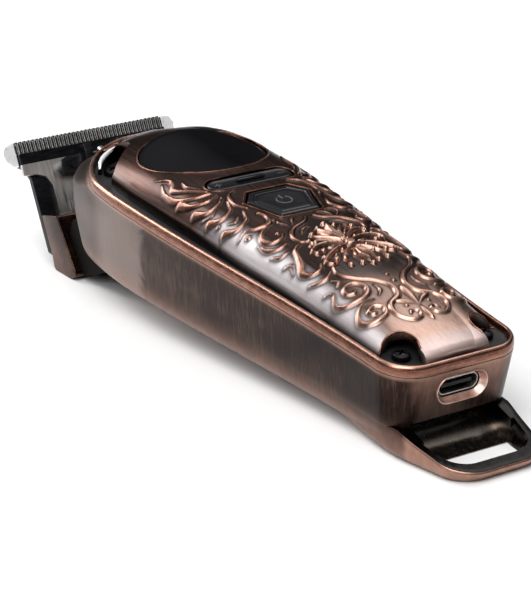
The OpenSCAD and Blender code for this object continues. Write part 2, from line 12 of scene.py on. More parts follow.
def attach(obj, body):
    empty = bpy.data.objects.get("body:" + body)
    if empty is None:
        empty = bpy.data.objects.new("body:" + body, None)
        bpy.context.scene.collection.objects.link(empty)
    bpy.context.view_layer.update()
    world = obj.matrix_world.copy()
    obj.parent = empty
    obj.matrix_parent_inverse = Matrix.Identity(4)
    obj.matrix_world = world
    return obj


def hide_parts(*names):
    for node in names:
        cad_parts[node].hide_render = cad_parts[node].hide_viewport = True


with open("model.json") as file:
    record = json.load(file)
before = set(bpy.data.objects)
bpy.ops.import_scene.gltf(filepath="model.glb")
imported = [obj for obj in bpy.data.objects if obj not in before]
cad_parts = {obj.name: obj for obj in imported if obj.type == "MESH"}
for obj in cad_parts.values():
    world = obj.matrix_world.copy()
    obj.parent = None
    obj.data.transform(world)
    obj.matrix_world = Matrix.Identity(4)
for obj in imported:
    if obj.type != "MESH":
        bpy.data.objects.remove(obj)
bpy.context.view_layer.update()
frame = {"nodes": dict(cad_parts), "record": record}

# ---- Axes ----
# Pieces are drawn in the body's own axes, in millimetres: X across, Y from the tail to the blade,
# Z up from the housing's floor. The standing clipper is tipped by PITCH.
MM = 0.001
PITCH = math.radians(5.84)
BODY_ORIGIN = np.array([0.0, -60.29, -1.0645])
COS_P, SIN_P = math.cos(PITCH), math.sin(PITCH)
# The row's origin seen from the body, to the rounding that the textures were tuned with
ROW_IN_BODY = (0, 60.09, -5.075)


def columns(*parts):
    return np.column_stack(parts)


def to_row(points):
    """Body axes in mm to the row's frame in metres."""
    p = np.asarray(points, float).reshape(-1, 3)
    turned = columns(p[:, 0], p[:, 1] * COS_P - p[:, 2] * SIN_P, p[:, 1] * SIN_P + p[:, 2] * COS_P)
    return (turned + BODY_ORIGIN) * MM


def to_body(points):
    p = np.asarray(points, float).reshape(-1, 3) / MM - BODY_ORIGIN
    return columns(p[:, 0], p[:, 1] * COS_P + p[:, 2] * SIN_P, -p[:, 1] * SIN_P + p[:, 2] * COS_P)


# ---- Camera ----
scene = bpy.context.scene
camera_data = bpy.data.cameras.new("camera")
camera_data.lens = 145.4
camera_data.sensor_width = 36
camera_data.clip_start = 0.01
camera = bpy.data.objects.new("camera", camera_data)
camera.matrix_world = Matrix((
    (0.839725, 0.200078, -0.504807, -0.241153),
    (-0.542976, 0.298702, -0.784828, -0.372642),
    (-0.006240, 0.933138, 0.359465, 0.179987),
    (0, 0, 0, 1)))
scene.collection.objects.link(camera)
scene.camera = camera


# ---- Materials ----
class Shader:
    """A node material, with short names for the nodes it uses."""

    def __init__(self, name, **values):
        self.m = bpy.data.materials.new(name)
        self.m.use_nodes = True
        self.t = self.m.node_tree
        self.b = self.t.nodes["Principled BSDF"]
        for key, value in values.items():
            self.b.inputs[key.replace("_", " ")].default_value = value

    def node(self, kind, **props):
        n = self.t.nodes.new("ShaderNode" + kind)
        for key, value in props.items():
            setattr(n, key, value)
        return n

    def put(self, socket, value):
        if isinstance(value, bpy.types.NodeSocket):
            self.t.links.new(value, socket)
        else:
            socket.default_value = value

    def coords(self, scale=(1, 1, 1)):
        """Body axes in mm, stretched by scale."""
        level = self.node("Mapping")
        level.inputs["Rotation"].default_value = (-PITCH, 0, 0)
        self.t.links.new(self.node("TexCoord").outputs["Object"], level.inputs["Vector"])
        stretch = self.node("Mapping")
        stretch.inputs["Scale"].default_value = [s / MM for s in scale]
        stretch.inputs["Location"].default_value = [s * o for s, o in zip(scale, ROW_IN_BODY)]
        self.t.links.new(level.outputs[0], stretch.inputs["Vector"])
        return stretch.outputs[0]

    def noise(self, scale=(1, 1, 1), detail=3.0, roughness=0.5):
        n = self.node("TexNoise")
        self.put(n.inputs["Vector"], self.coords(scale))
        n.inputs["Scale"].default_value = 1.0
        n.inputs["Detail"].default_value = detail
        n.inputs["Roughness"].default_value = roughness
        return n.outputs[0]

    def ramp(self, value, *stops):
        n = self.node("ValToRGB")
        self.put(n.inputs[0], value)
        while len(n.color_ramp.elements) < len(stops):
            n.color_ramp.elements.new(1.0)
        for e, (at, colour) in zip(n.color_ramp.elements, stops):
            e.position = at
            e.color = (colour, colour, colour, 1) if isinstance(colour, (int, float)) else (*colour, 1)
        return n.outputs[0]

    def mix(self, share, a, b):
        n = self.node("MixRGB")
        self.put(n.inputs[0], share)
        for socket, value in ((n.inputs[1], a), (n.inputs[2], b)):
            self.put(socket, value if isinstance(value, bpy.types.NodeSocket) else (*value, 1))
        return n.outputs[0]

    def maths(self, op, a, b=0.5):
        n = self.node("Math", operation=op)
        self.put(n.inputs[0], a)
        self.put(n.inputs[1], b)
        return n.outputs[0]

    def blend(self, a, b, share):
        return self.maths("ADD", self.maths("MULTIPLY", a, 1 - share), self.maths("MULTIPLY", b, share))

    def attribute(self, name):
        return self.node("Attribute", attribute_name=name).outputs["Fac"]

    def bump(self, height, distance, strength=1.0):
        n = self.node("Bump")
        n.inputs["Strength"].default_value = strength
        n.inputs["Distance"].default_value = distance * MM
        self.put(n.inputs["Height"], height)
        self.t.links.new(n.outputs[0], self.b.inputs["Normal"])

    def finish(self, colour, roughness=None):
        self.put(self.b.inputs["Base Color"], colour)
        if roughness is not None:
            self.put(self.b.inputs["Roughness"], roughness)
        return self.m


def brushed_copper(name, streak, dark, mid, light, rough=(0.3, 0.46), patina=0.5, relief=False,
                   nose=False):
    """Antique copper with brush lines along the long side of streak, patches of patina, and worn edges
    painted lighter that also stand in for highlight lines; nose adds a painted reflection, relief a painted
    sheen and painted shade.
    """
    s = Shader(name, Metallic=1.0, Coat_Weight=0.25 if relief else 0.0, Coat_Roughness=0.16)
    lines = s.noise(streak, 5, 0.62)
    fine = s.noise(tuple(3.1 * k for k in streak), 3, 0.6)
    patches = s.noise((0.045, 0.03, 0.06), 3, 0.55)
    both = s.blend(lines, fine, 0.38)
    shade = s.blend(both, patches, patina)
    colour = s.ramp(shade, (0.39, dark), (0.5, mid), (0.61, light))
    roughness = s.ramp(both, (0.3, rough[0]), (0.7, rough[1]))
    height = both
    if nose:
        # Painted reflection: the nose is smoother and painted lighter where a softbox would reflect
        smooth = s.attribute("nose")
        bright = s.ramp(patches, (0.35, (0.085, 0.061, 0.052)), (0.65, (0.20, 0.155, 0.138)))
        colour = s.mix(smooth, colour, bright)
        height = s.maths("MULTIPLY", both, s.maths("SUBTRACT", 1.0, smooth))
    if relief:
        bare, raised, painted_shade = s.attribute("bare"), s.attribute("raised"), s.attribute("painted_shade")
        worn = s.ramp(shade, (0.36, (0.26, 0.155, 0.118)), (0.5, (0.42, 0.27, 0.215)),
                      (0.64, (0.62, 0.43, 0.36)))
        colour = s.mix(bare, colour, worn)
        # Painted sheen: pale grey-white where the crown's shoulders and tail end show a highlight, with a
        # rougher surface there
        painted_sheen = s.ramp(shade, (0.36, (0.52, 0.47, 0.475)), (0.64, (0.76, 0.72, 0.735)))
        colour = s.mix(s.attribute("painted_sheen"), colour, painted_sheen)
        roughness = s.mix(s.attribute("painted_sheen"), roughness, (0.5, 0.5, 0.5))
        grain = s.noise((1.4, 1.4, 1.4), 4, 0.7)
        grain = s.ramp(grain, (0.3, (0.17, 0.078, 0.054)), (0.7, (0.40, 0.21, 0.155)))
        grain = s.mix(bare, grain, (0.55, 0.33, 0.255))
        colour = s.mix(s.ramp(raised, (0.2, 0.0), (0.75, 0.95)), colour, grain)
        colour = s.mix(s.attribute("emblem"), colour, (0.44, 0.26, 0.20))
        # Painted shade: near-black in the scrolls' shadow lines, round the emblem, in the groove and on cut
        # walls
        colour = s.mix(painted_shade, colour, (0.018, 0.010, 0.008))
    # Worn edges painted light copper, standing in also for the highlight lines along them
    edge = s.attribute("wear_and_highlight")
    speck = s.ramp(s.noise((0.5, 0.5, 0.5), 3, 0.5), (0.3, 0.7), (0.7, 1.0))
    colour = s.mix(s.maths("MULTIPLY", edge, speck), colour, (0.70, 0.40, 0.30))
    s.bump(height, 0.02, 0.5)
    return s.finish(colour, roughness)


FLANK_TONES = ((0.010, 0.006, 0.005), (0.030, 0.018, 0.0145), (0.085, 0.053, 0.043))
CROWN_TONES = ((0.022, 0.009, 0.006), (0.052, 0.022, 0.0155), (0.11, 0.053, 0.039))
RIM_TONES = ((0.07, 0.028, 0.019), (0.15, 0.061, 0.042), (0.28, 0.135, 0.098))
# A much darker copy of the bright copper for the blade bracket: painted shade
CHIN_SHADE_TONES = ((0.014, 0.008, 0.007), (0.045, 0.024, 0.018), (0.12, 0.066, 0.05))
# A lighter copy of copper for the inlet's lip: a painted highlight
LIP_HIGHLIGHT_TONES = ((0.40, 0.24, 0.19), (0.62, 0.42, 0.35), (0.84, 0.66, 0.6))
PATCH_LIFT = 1.6


def plastic(name, colour, rough, grain=2.0, depth=0.012, gloss=0.3):
    """Fine-grained plastic with wide, slightly lighter patches."""
    s = Shader(name, Specular_IOR_Level=gloss)
    n = s.noise((grain, grain, grain), 4, 0.65)
    wide = s.noise((0.08, 0.08, 0.08), 3, 0.5)
    s.bump(n, depth, 0.5)
    light = tuple(min(1, c * PATCH_LIFT) for c in colour)
    tone = s.ramp(wide, (0.3, colour), (0.75, light))
    return s.finish(tone, s.ramp(n, (0.3, rough * 0.85), (0.7, rough * 1.15)))


def metal(name, dark, light, rough, streak=(0.3, 0.3, 3.0), depth=0.006, metallic=1.0):
    """Metal with streaks of noise between its dark and its light tone."""
    s = Shader(name, Metallic=metallic)
    n = s.noise(streak, 5, 0.6)
    wide = s.noise((0.1, 0.1, 0.1), 3, 0.5)
    s.bump(n, depth, 0.4)
    tone = s.ramp(s.blend(n, wide, 0.4), (0.35, dark), (0.65, light))
    return s.finish(tone, s.ramp(n, (0.3, rough * 0.8), (0.7, rough * 1.2)))


m_flank = brushed_copper("flank_copper", (1.5, 1.5, 0.045), *FLANK_TONES, nose=True)
m_crown = brushed_copper("crown_copper", (1.9, 0.05, 1.9), *CROWN_TONES, rough=(0.24, 0.38), relief=True)
m_rim = brushed_copper("rim_copper", (0.4, 0.4, 2.0), *RIM_TONES, rough=(0.22, 0.36), patina=0.3)
m_chin = brushed_copper("chin_copper_shaded", (0.35, 0.35, 0.35), *CHIN_SHADE_TONES, rough=(0.2, 0.34), patina=0.7)
m_lip = brushed_copper("lip_copper_highlight", (0.4, 0.4, 0.4), *LIP_HIGHLIGHT_TONES)
m_black = plastic("black_plastic", (0.012, 0.012, 0.013), 0.34)
m_gloss = plastic("black_gloss", (0.003, 0.003, 0.004), 0.07, grain=0.6, depth=0.0003, gloss=0.1)
m_key = plastic("key_black", (0.005, 0.005, 0.006), 0.24, grain=6.0, depth=0.0012, gloss=0.3)
m_icon = plastic("icon_grey", (0.05, 0.05, 0.053), 0.35)
m_board = plastic("circuit_board", (0.02, 0.10, 0.045), 0.4)
m_wrap = plastic("cell_wrap", (0.05, 0.10, 0.28), 0.35)
m_neck = plastic("neck_black", (0.005, 0.0045, 0.004), 0.6, gloss=0.03)
m_rubber = plastic("rubber", (0.012, 0.012, 0.012), 0.6)
m_carbon = plastic("carbon", (0.03, 0.028, 0.026), 0.6)
m_steel = metal("satin_steel", (0.36, 0.35, 0.34), (0.62, 0.60, 0.58), 0.3)
m_plate = metal("blade_plate", (0.46, 0.44, 0.42), (0.70, 0.68, 0.65), 0.34, streak=(2.2, 0.12, 0.12))
m_dark_steel = metal("black_steel", (0.010, 0.010, 0.012), (0.028, 0.028, 0.032), 0.38)
m_tab = metal("tab_steel", (0.018, 0.018, 0.021), (0.05, 0.05, 0.056), 0.3)
# Near-white, half-metallic steel that shows white under any light: a painted highlight for the pocket lips
# and the fixed blade's ends
m_glint_steel = metal("polished_steel_glint", (0.86, 0.86, 0.86), (0.98, 0.98, 0.98), 0.3, streak=(0.4, 0.4, 0.4),
                 depth=0.0002, metallic=0.45)
m_tooth = metal("tooth_steel", (0.07, 0.068, 0.066), (0.20, 0.195, 0.19), 0.2, depth=0.001)
m_brass = metal("brass", (0.50, 0.33, 0.12), (0.74, 0.54, 0.24), 0.3)
m_winding = metal("copper_winding", (0.36, 0.15, 0.06), (0.66, 0.32, 0.15), 0.3, streak=(0.2, 3.0, 0.2))
m_gold = metal("contact_gold", (0.70, 0.48, 0.16), (0.86, 0.64, 0.28), 0.22)


def black_chrome():
    """The dark plating of the loop and the scoop, which wears to brown low down in the scoop."""
    s = Shader("black_chrome", Metallic=1.0)
    n = s.noise((0.9, 0.9, 0.9), 4, 0.6)
    split = s.node("SeparateXYZ")
    s.t.links.new(s.coords(), split.inputs[0])
    ragged = s.maths("ADD", split.outputs[2], s.maths("MULTIPLY", n, 1.5))
    low = s.ramp(s.maths("MULTIPLY", ragged, 0.1), (0.22, 0.9), (0.5, 0.0))
    ahead = s.maths("ADD", split.outputs[1], 10.0)
    inside = s.ramp(s.maths("MULTIPLY", ahead, 0.05), (0.27, 0.0), (0.32, 1.0))
    colour = s.ramp(n, (0.3, (0.010, 0.009, 0.009)), (0.7, (0.026, 0.024, 0.023)))
    brown = s.ramp(n, (0.3, (0.26, 0.22, 0.19)), (0.7, (0.50, 0.43, 0.37)))
    s.bump(n, 0.004, 0.2)
    colour = s.mix(s.maths("MULTIPLY", low, inside), colour, brown)
    return s.finish(colour, s.ramp(n, (0.3, 0.18), (0.7, 0.3)))


m_chrome = black_chrome()

SLOT_MATERIAL = {
    "antique_copper": m_flank, "bright_copper": m_rim, "black_lens": m_gloss, "black_plastic": m_black,
    "black_steel": m_dark_steel, "steel": m_steel, "circuit_board": m_board, "cell_wrap": m_wrap,
    "brass": m_brass, "copper_winding": m_winding, "carbon": m_carbon, "rubber": m_rubber}
for part in frame["record"]["subparts"]:
    skin = frame["nodes"][part["node"]]
    if not skin.material_slots:
        skin.data.materials.append(None)
    for at in skin.material_slots:
        at.material = m_tab if part["node"] == "drive_rivets" else SLOT_MATERIAL[part["material_slot"]]


# ---- Mesh helpers ----
def new_object(name, points, faces, materials, which=None):
    """A mesh object from points in body axes, with faces as lists of point numbers."""
    mesh = bpy.data.meshes.new(name)
    mesh.from_pydata(to_row(points).tolist(), [], faces)
    obj = bpy.data.objects.new(name, mesh)
    scene.collection.objects.link(obj)
    for m in materials:
        mesh.materials.append(m)
    if which is not None:
        mesh.polygons.foreach_set("material_index", which)
    return obj


def edit(obj, change):
    """Runs change on the mesh of obj, opened as a bmesh."""
    b = bmesh.new()
    b.from_mesh(obj.data)
    change(b)
    b.to_mesh(obj.data)
    b.free()


def outward(obj):
    edit(obj, lambda b: bmesh.ops.recalc_face_normals(b, faces=b.faces))


def apply_all(obj):
    """Applies the modifiers of obj."""
    graph = bpy.context.evaluated_depsgraph_get()
    mesh = bpy.data.meshes.new_from_object(obj.evaluated_get(graph))
    obj.modifiers.clear()
    old, obj.data = obj.data, mesh
    bpy.data.meshes.remove(old)
    obj.data.name = obj.name
    return obj


def combine(obj, tool, operation="DIFFERENCE"):
    """Cuts tool from obj, or joins it on, and takes the tool away."""
    mod = obj.modifiers.new("boolean", "BOOLEAN")
    mod.operation = operation
    mod.solver = "EXACT"
    mod.object = tool
    apply_all(obj)
    bpy.data.objects.remove(tool)
    return obj


def bevel(obj, width, segments, angle=30):
    mod = obj.modifiers.new("bevel", "BEVEL")
    mod.width = width * MM
    mod.segments = segments
    mod.limit_method = "ANGLE"
    mod.angle_limit = math.radians(angle)
    mod.use_clamp_overlap = True
    return apply_all(obj)


def shade(obj, angle=35, flat=None):
    """Smooth shading up to an angle. Faces of more than flat mm2, where it is given, are true flats."""
    faces = obj.data.polygons
    faces.foreach_set("use_smooth", [True] * len(faces))
    obj.data.set_sharp_from_angle(angle=math.radians(angle))
    if flat is not None:
        faces.foreach_set("use_smooth", [f.area < flat * MM ** 2 for f in faces])


def settle(obj, body, slot, *nodes, angle=35, flat=None):
    """The last step of every piece: its shading, its body and the CAD nodes it stands for. slot is not used.
    """
    shade(obj, angle, flat)
    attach(obj, body)
    if nodes:
        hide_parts(*nodes)
    return obj


def set_attribute(obj, name, values):
    a = obj.data.attributes.new(name, "FLOAT", "POINT")
    a.data.foreach_set("value", np.asarray(values, np.float32))


def points_of(obj):
    co = np.zeros(len(obj.data.vertices) * 3)
    obj.data.vertices.foreach_get("co", co)
    return to_body(co)


def face_centres(obj):
    """The middle of each face in the row's frame, in metres."""
    c = np.zeros(len(obj.data.polygons) * 3)
    obj.data.polygons.foreach_get("center", c)
    return c.reshape(-1, 3)


def strip_faces(rows, n, closed=True):
    """Quads between rows of n points each."""
    last = n if closed else n - 1
    return [[r * n + i, r * n + (i + 1) % n, (r + 1) * n + (i + 1) % n, (r + 1) * n + i]
            for r in range(rows - 1) for i in range(last)]


def loft(name, rings, materials, endless=False):
    """A skin over closed rings of equal length. endless ties the last ring to the first."""
    n = len(rings[0])
    k = (len(rings) - 1) * n
    faces = strip_faces(len(rings), n)
    if endless:
        faces += [[k + i, k + (i + 1) % n, (i + 1) % n, i] for i in range(n)]
    else:
        faces += [list(range(n))[::-1], list(range(k, k + n))]
    obj = new_object(name, np.concatenate(rings), faces, materials)
    outward(obj)
    return obj


def circle(n):
    """The cosines and the sines of n even steps round a full turn."""
    a = np.linspace(0, 2 * math.pi, n, endpoint=False)
    return np.cos(a), np.sin(a)


def flat_ring(outline, z):
    o = np.asarray(outline, float)
    return columns(o, np.full(len(o), z))


def prism(name, outline, z0, z1, materials=()):
    return loft(name, [flat_ring(outline, z0), flat_ring(outline, z1)], materials)


def normalised(rows):
    return rows / np.linalg.norm(rows, axis=1)[:, None]


def sideways(name, profile, x0, x1, materials=()):
    """A prism from x0 to x1 over a profile in Y and Z."""
    return loft(name, [columns(np.full(len(profile), x), profile) for x in (x0, x1)], materials)


def lathe(name, profile, centre, material, n=40):
    """A body of revolution on an upright axis through centre."""
    c, s = circle(n)
    rings = [flat_ring(columns(centre[0] + r * c, centre[1] + r * s), z) for r, z in profile]
    return loft(name, rings, [material])


def tube(name, path, radius, materials, closed=False, sides=10, taper=None):
    """A round bead along path, which lies roughly level."""
    p = np.asarray(path, float)
    n = len(p)
    ahead = np.roll(p, -1, 0) - np.roll(p, 1, 0)
    if not closed:
        ahead[0], ahead[-1] = p[1] - p[0], p[-1] - p[-2]
    ahead = normalised(ahead)
    side = normalised(np.cross(ahead, [0, 0, 1]))
    up = np.cross(side, ahead)
    r = np.full(n, radius) if taper is None else radius * np.asarray(taper)
    c, s = (k[:, None] for k in circle(sides))
    rings = [p[i] + r[i] * (c * side[i] + s * up[i]) for i in range(n)]
    return loft(name, rings, materials, endless=closed)


def joined(name, objects):
    """Several objects made into one mesh."""
    points, faces, which, materials = [], [], [], []
    start = 0
    for obj in objects:
        mesh = obj.data
        index = []
        for m in mesh.materials:
            if m not in materials:
                materials.append(m)
            index.append(materials.index(m))
        points.append(points_of(obj))
        faces += [[v + start for v in p.vertices] for p in mesh.polygons]
        which += [index[p.material_index] if index else 0 for p in mesh.polygons]
        start += len(mesh.vertices)
    for o in objects:
        bpy.data.objects.remove(o)
    return new_object(name, np.concatenate(points), faces, materials, which)


def merge_flats(b):
    bmesh.ops.remove_doubles(b, verts=b.verts, dist=0.002 * MM)
    bmesh.ops.dissolve_limit(b, angle_limit=math.radians(2), verts=b.verts, edges=b.edges)


def soften(node, width, segments=2, cuts=()):
    """A copy of a CAD node with its edges rounded, to stand for the node. Each cut, a point and a normal in
    body axes, splits its faces, so that they can take different materials."""
    obj = bpy.data.objects.new(node + "_skin", frame["nodes"][node].data.copy())
    scene.collection.objects.link(obj)
    edit(obj, merge_flats)
    for a in [a.name for a in obj.data.attributes if a.name.startswith("custom_normal")]:
        obj.data.attributes.remove(obj.data.attributes[a])
    bevel(obj, width, segments)

    def split(b):
        for point, normal in cuts:
            ends = to_row([point, np.add(point, normal)])
            bmesh.ops.bisect_plane(b, geom=b.verts[:] + b.edges[:] + b.faces[:], plane_co=ends[0],
                                   plane_no=(ends[1] - ends[0]) / MM)
    edit(obj, split)
    return obj


# ---- Outlines ----
def unit(x):
    """x held between 0 and 1."""
    return np.clip(x, 0, 1)


def arc(cx, cy, r, a0, a1, n):
    a = np.radians(np.linspace(a0, a1, n))
    return columns(cx + r * np.cos(a), cy + r * np.sin(a))


def both_halves(points):
    p = np.asarray(points, float)
    return np.concatenate([p, (p * [-1, 1])[::-1]])


def stadium(length, width, n=14):
    r = width / 2
    right = arc(length / 2 - r, 0, r, -90, 90, n)
    left = arc(r - length / 2, 0, r, 90, 270, n)
    return np.concatenate([right, left])


def rounded(corners, radius, n=5):
    """A polygon with its corners rounded. radius is one number or one for each corner."""
    c = np.asarray(corners, float)
    k = len(c)
    radii = np.broadcast_to(np.asarray(radius, float), (k,))
    out = []
    for i in range(k):
        a, b, d = c[i - 1], c[i], c[(i + 1) % k]
        u, v = (a - b) / np.linalg.norm(a - b), (d - b) / np.linalg.norm(d - b)
        half = math.acos(max(-1, min(1, float(u @ v)))) / 2
        if radii[i] < 1e-6:
            out.append(b[None])
            continue
        cut = min(radii[i] / math.tan(half), 0.48 * np.linalg.norm(a - b), 0.48 * np.linalg.norm(d - b))
        p0, p1 = b + u * cut, b + v * cut
        t = np.linspace(0, 1, n)[:, None]
        out.append((1 - t) ** 2 * p0 + 2 * t * (1 - t) * b + t ** 2 * p1)
    return np.concatenate(out)


# ---- Outlines of the body ----
TAIL_W, WIDE_W, WIDE_Y, TAIL_R = 14.5, 21.0, 88.0, 7.0
BODY_L, ROUND_Y, SHOULDER_Y = 115.0, 95.0, 101.5
PART_Z, SHAFT_Z = 17.3, 9.0
NOSE_OUT, NOSE_REACH, CORNER_IN, CORNER_P = 5.9, 13.5, 10.8, 1.4
DRAFT = math.tan(math.radians(6.5))
EDGE_R, FLOOR_Z, FLOOR_FALL, WALL = 5.0, 1.5, math.radians(2.4), 1.6
SCOOP_Y, SCOOP_Z, SCOOP_R, SCOOP_W = -0.4, 4.9, 3.4, 9.6
COVER_BASE, COVER_Y0, COVER_FRONT = 18.22, 1.9, 111.6
COVER_SHARE, COVER_R, TONGUE_W = 0.83, 5.8, 7.0
CORNER_C, CORNER_R = np.array([6.6, 94.7]), 12.2


def side_w(y):
    y = np.asarray(y, float)
    t = (y - TAIL_R) / (WIDE_Y - TAIL_R)
    grown = TAIL_W + (WIDE_W - TAIL_W) * (0.45 * t + 0.275 * (1 - np.cos(math.pi * t)))
    return np.where(y < WIDE_Y, grown, WIDE_W - 0.0047 * (y - WIDE_Y) ** 2)


def half_outline(front_points, side_end):
    """Right half of an outline from the middle of the tail to the middle of the front."""
    tail = [[x, 0.0] for x in np.linspace(0, TAIL_W - TAIL_R, 9)[:-1]]
    a = np.linspace(0, math.pi / 2, 17)
    corner = columns(TAIL_W - TAIL_R + TAIL_R * np.sin(a), TAIL_R - TAIL_R * np.cos(a))
    y = np.linspace(TAIL_R, side_end, 66)[1:-1]
    side = columns(side_w(y), y)
    return np.concatenate([tail, corner, side, front_points])


def rim_half():
    t = np.sin(np.linspace(0, math.pi / 2, 34))
    front = columns(side_w(ROUND_Y) * np.sqrt(unit(1 - t ** 1.5)),
                    ROUND_Y + (BODY_L - ROUND_Y) * t)
    return half_outline(front, ROUND_Y)


def nose_half(shift):
    y0 = SHOULDER_Y + shift
    t = np.sin(np.linspace(0, math.pi / 2, 26))
    drop = CORNER_IN * (1 - (1 - t ** CORNER_P) ** (1 / CORNER_P))
    front = columns(side_w(y0) - drop, y0 + NOSE_REACH * t)
    middle = columns(np.linspace(front[-1, 0], 0, 9)[1:], np.full(8, y0 + NOSE_REACH))
    return half_outline(np.concatenate([front, middle]), y0)


def closed(half):
    """Both halves as one loop, counter-clockwise from the middle of the tail."""
    left = half[-2:0:-1] * [-1, 1]
    return np.concatenate([half, left])


def pulled_in(loop, inset, smooth=3):
    """The loop moved inwards along its smoothed normals."""
    ahead = np.roll(loop, -1, 0) - np.roll(loop, 1, 0)
    normal = normalised(columns(-ahead[:, 1], ahead[:, 0]))
    for _ in range(smooth):
        normal = (np.roll(normal, 1, 0) + 2 * normal + np.roll(normal, -1, 0)) / 4
    return loop + normalised(normal) * inset


def housing_rings(inset, steps):
    """Rings of the housing from its top edge down to its floor."""
    key = [flat_ring(pulled_in(closed(rim_half()), inset), PART_Z)]
    for z, shift in ((14, NOSE_OUT - 1.2), (11, NOSE_OUT), (7, NOSE_OUT)):
        key.append(flat_ring(pulled_in(closed(nose_half(shift)), inset + (PART_Z - z) * DRAFT), z))
    c, s = math.cos(FLOOR_FALL), math.sin(FLOOR_FALL)
    r = EDGE_R - inset
    low = []
    for a in np.linspace(0, math.pi / 2, steps):
        ring = pulled_in(closed(nose_half(2.5 - 13 * (2 * a / math.pi) ** 2)),
                         inset + 1.5 + r * (1 - math.cos(a)), 6)
        z = FLOOR_Z + inset + r * (1 - math.sin(a))
        low.append(columns(ring[:, 0], ring[:, 1] * c + z * s, -ring[:, 1] * s + z * c))
    key.append(low[0])
    rings = []
    for upper, lower in zip(key, key[1:]):
        for t in np.linspace(0, 1, 5)[:-1]:
            rings.append(upper * (1 - t) + lower * t)
    rings += low
    stack = np.array(rings)
    for _ in range(2):
        stack[1:-1] = (stack[:-2] + 2 * stack[1:-1] + stack[2:]) / 4
    return list(stack)


# ---- Housing and loop ----
def round_rear(w, rear, front, r, taper):
    return both_halves(np.concatenate([[[w, front]], arc(w - taper - r, rear + r, r, 0, -90, 14)]))


def on_table(points):
    """Points level with the table, in body axes."""
    p = np.asarray(points, float)
    z = p[:, 2] - BODY_ORIGIN[2]
    return columns(p[:, 0], p[:, 1] * COS_P + z * SIN_P, -p[:, 1] * SIN_P + z * COS_P)


LOOP_W, LOOP_REAR, LOOP_R = 12.6, -14.4, 6.8


def loop_top(y):
    return np.interp(y, [-14.4, -9, -3, 1.4, 10], [2.2, 3.3, 4.7, 6.1, 6.1])


def loop_outline(inset):
    """The loop's plan, which runs forward under the housing and follows its flank."""
    rear = arc(LOOP_W - 1.6 - LOOP_R, LOOP_REAR + LOOP_R, LOOP_R - inset, 0, -90, 18)
    y = np.linspace(26, -5, 26)
    reach = np.interp(y, [-7.4, 0, 8, 26], [LOOP_W - 1.55, LOOP_W - 0.35, 12.9, 13.3])
    side = columns(reach - inset - 0.09 * np.clip(y - 4, 0, None), y)
    return both_halves(np.concatenate([side, rear]))


def make_loop():
    rings = []
    for z, inset in ((0, 1.9), (0.12, 1.5), (0.4, 1.05), (0.8, 0.68), (1.3, 0.36), (1.8, 0.12), (2.3, 0.0)):
        o = loop_outline(inset)
        top = loop_top(o[:, 1])
        lift = 2.0 * unit((o[:, 1] - 2) / 24) ** 1.5
        rings.append(columns(o, np.minimum(z, 0.3 + (top - 0.75) * 0.95 * z / 2.3) + lift))
    for drop, inset in ((0.42, 0.0), (0.2, 0.06), (0.06, 0.2), (0.0, 0.42), (0.0, 1.2), (0.0, 2.4),
                        (0.0, 4.0), (0.0, 5.6)):
        o = loop_outline(inset)
        rings.append(columns(o, loop_top(o[:, 1]) - drop))
    return loft("loop", [on_table(r) for r in rings], [m_flank])


def shaft_bore(radius, y0, y1, n):
    """A round tool on the motor's axis."""
    c, s = circle(n)
    rings = [columns(radius * c, np.full(n, y), SHAFT_Z + radius * s) for y in (y0, y1)]
    return loft("bore", rings, [])


def make_housing():
    outer = loft("housing", housing_rings(0.0, 13), [m_flank, m_chrome])
    combine(outer, loft("room", housing_rings(WALL, 7), []))
    combine(outer, prism("room_top", pulled_in(closed(rim_half()), WALL), PART_Z - 1.4, PART_Z + 2))
    combine(outer, make_loop(), "UNION")
    rings = []
    for z, grow in ((-2, 0.0), (0.2, 0.0), (0.7, 0.1), (6.5, 1.9)):
        rings.append(on_table(flat_ring(round_rear(8.9 + grow, -11.2 - 0.45 * grow, -3.2, 4.8, 0.5), z)))
    combine(outer, loft("hole", rings, []))
    a = np.radians(np.linspace(90, 270, 25))
    scoop = columns(SCOOP_Y - SCOOP_R * np.cos(a), SCOOP_Z + SCOOP_R * np.sin(a))
    profile = np.concatenate([scoop, [[-3.8, 1.6], [-3.8, 11.0], [SCOOP_Y, 11.0]]])
    combine(outer, sideways("scoop", profile, -SCOOP_W, SCOOP_W))
    combine(outer, usb_tool())
    combine(outer, shaft_bore(4.5, 108, 124, 48))
    return finish_housing(outer)


USB_Z, USB_L, USB_H = 13.5, 8.94, 3.26


def inlet_rings(steps):
    """Upright rings round the charging inlet, from steps of y and of growth over the shell."""
    rings = []
    for y, grow in steps:
        o = stadium(USB_L + grow, USB_H + grow)
        rings.append(columns(o[:, 0], np.full(len(o), y), USB_Z + o[:, 1]))
    return rings


def usb_tool():
    return loft("usb_cut", inlet_rings(((-2.0, 2.2), (1.31, 2.2), (1.32, 0.2), (3.2, 0.2))), [])


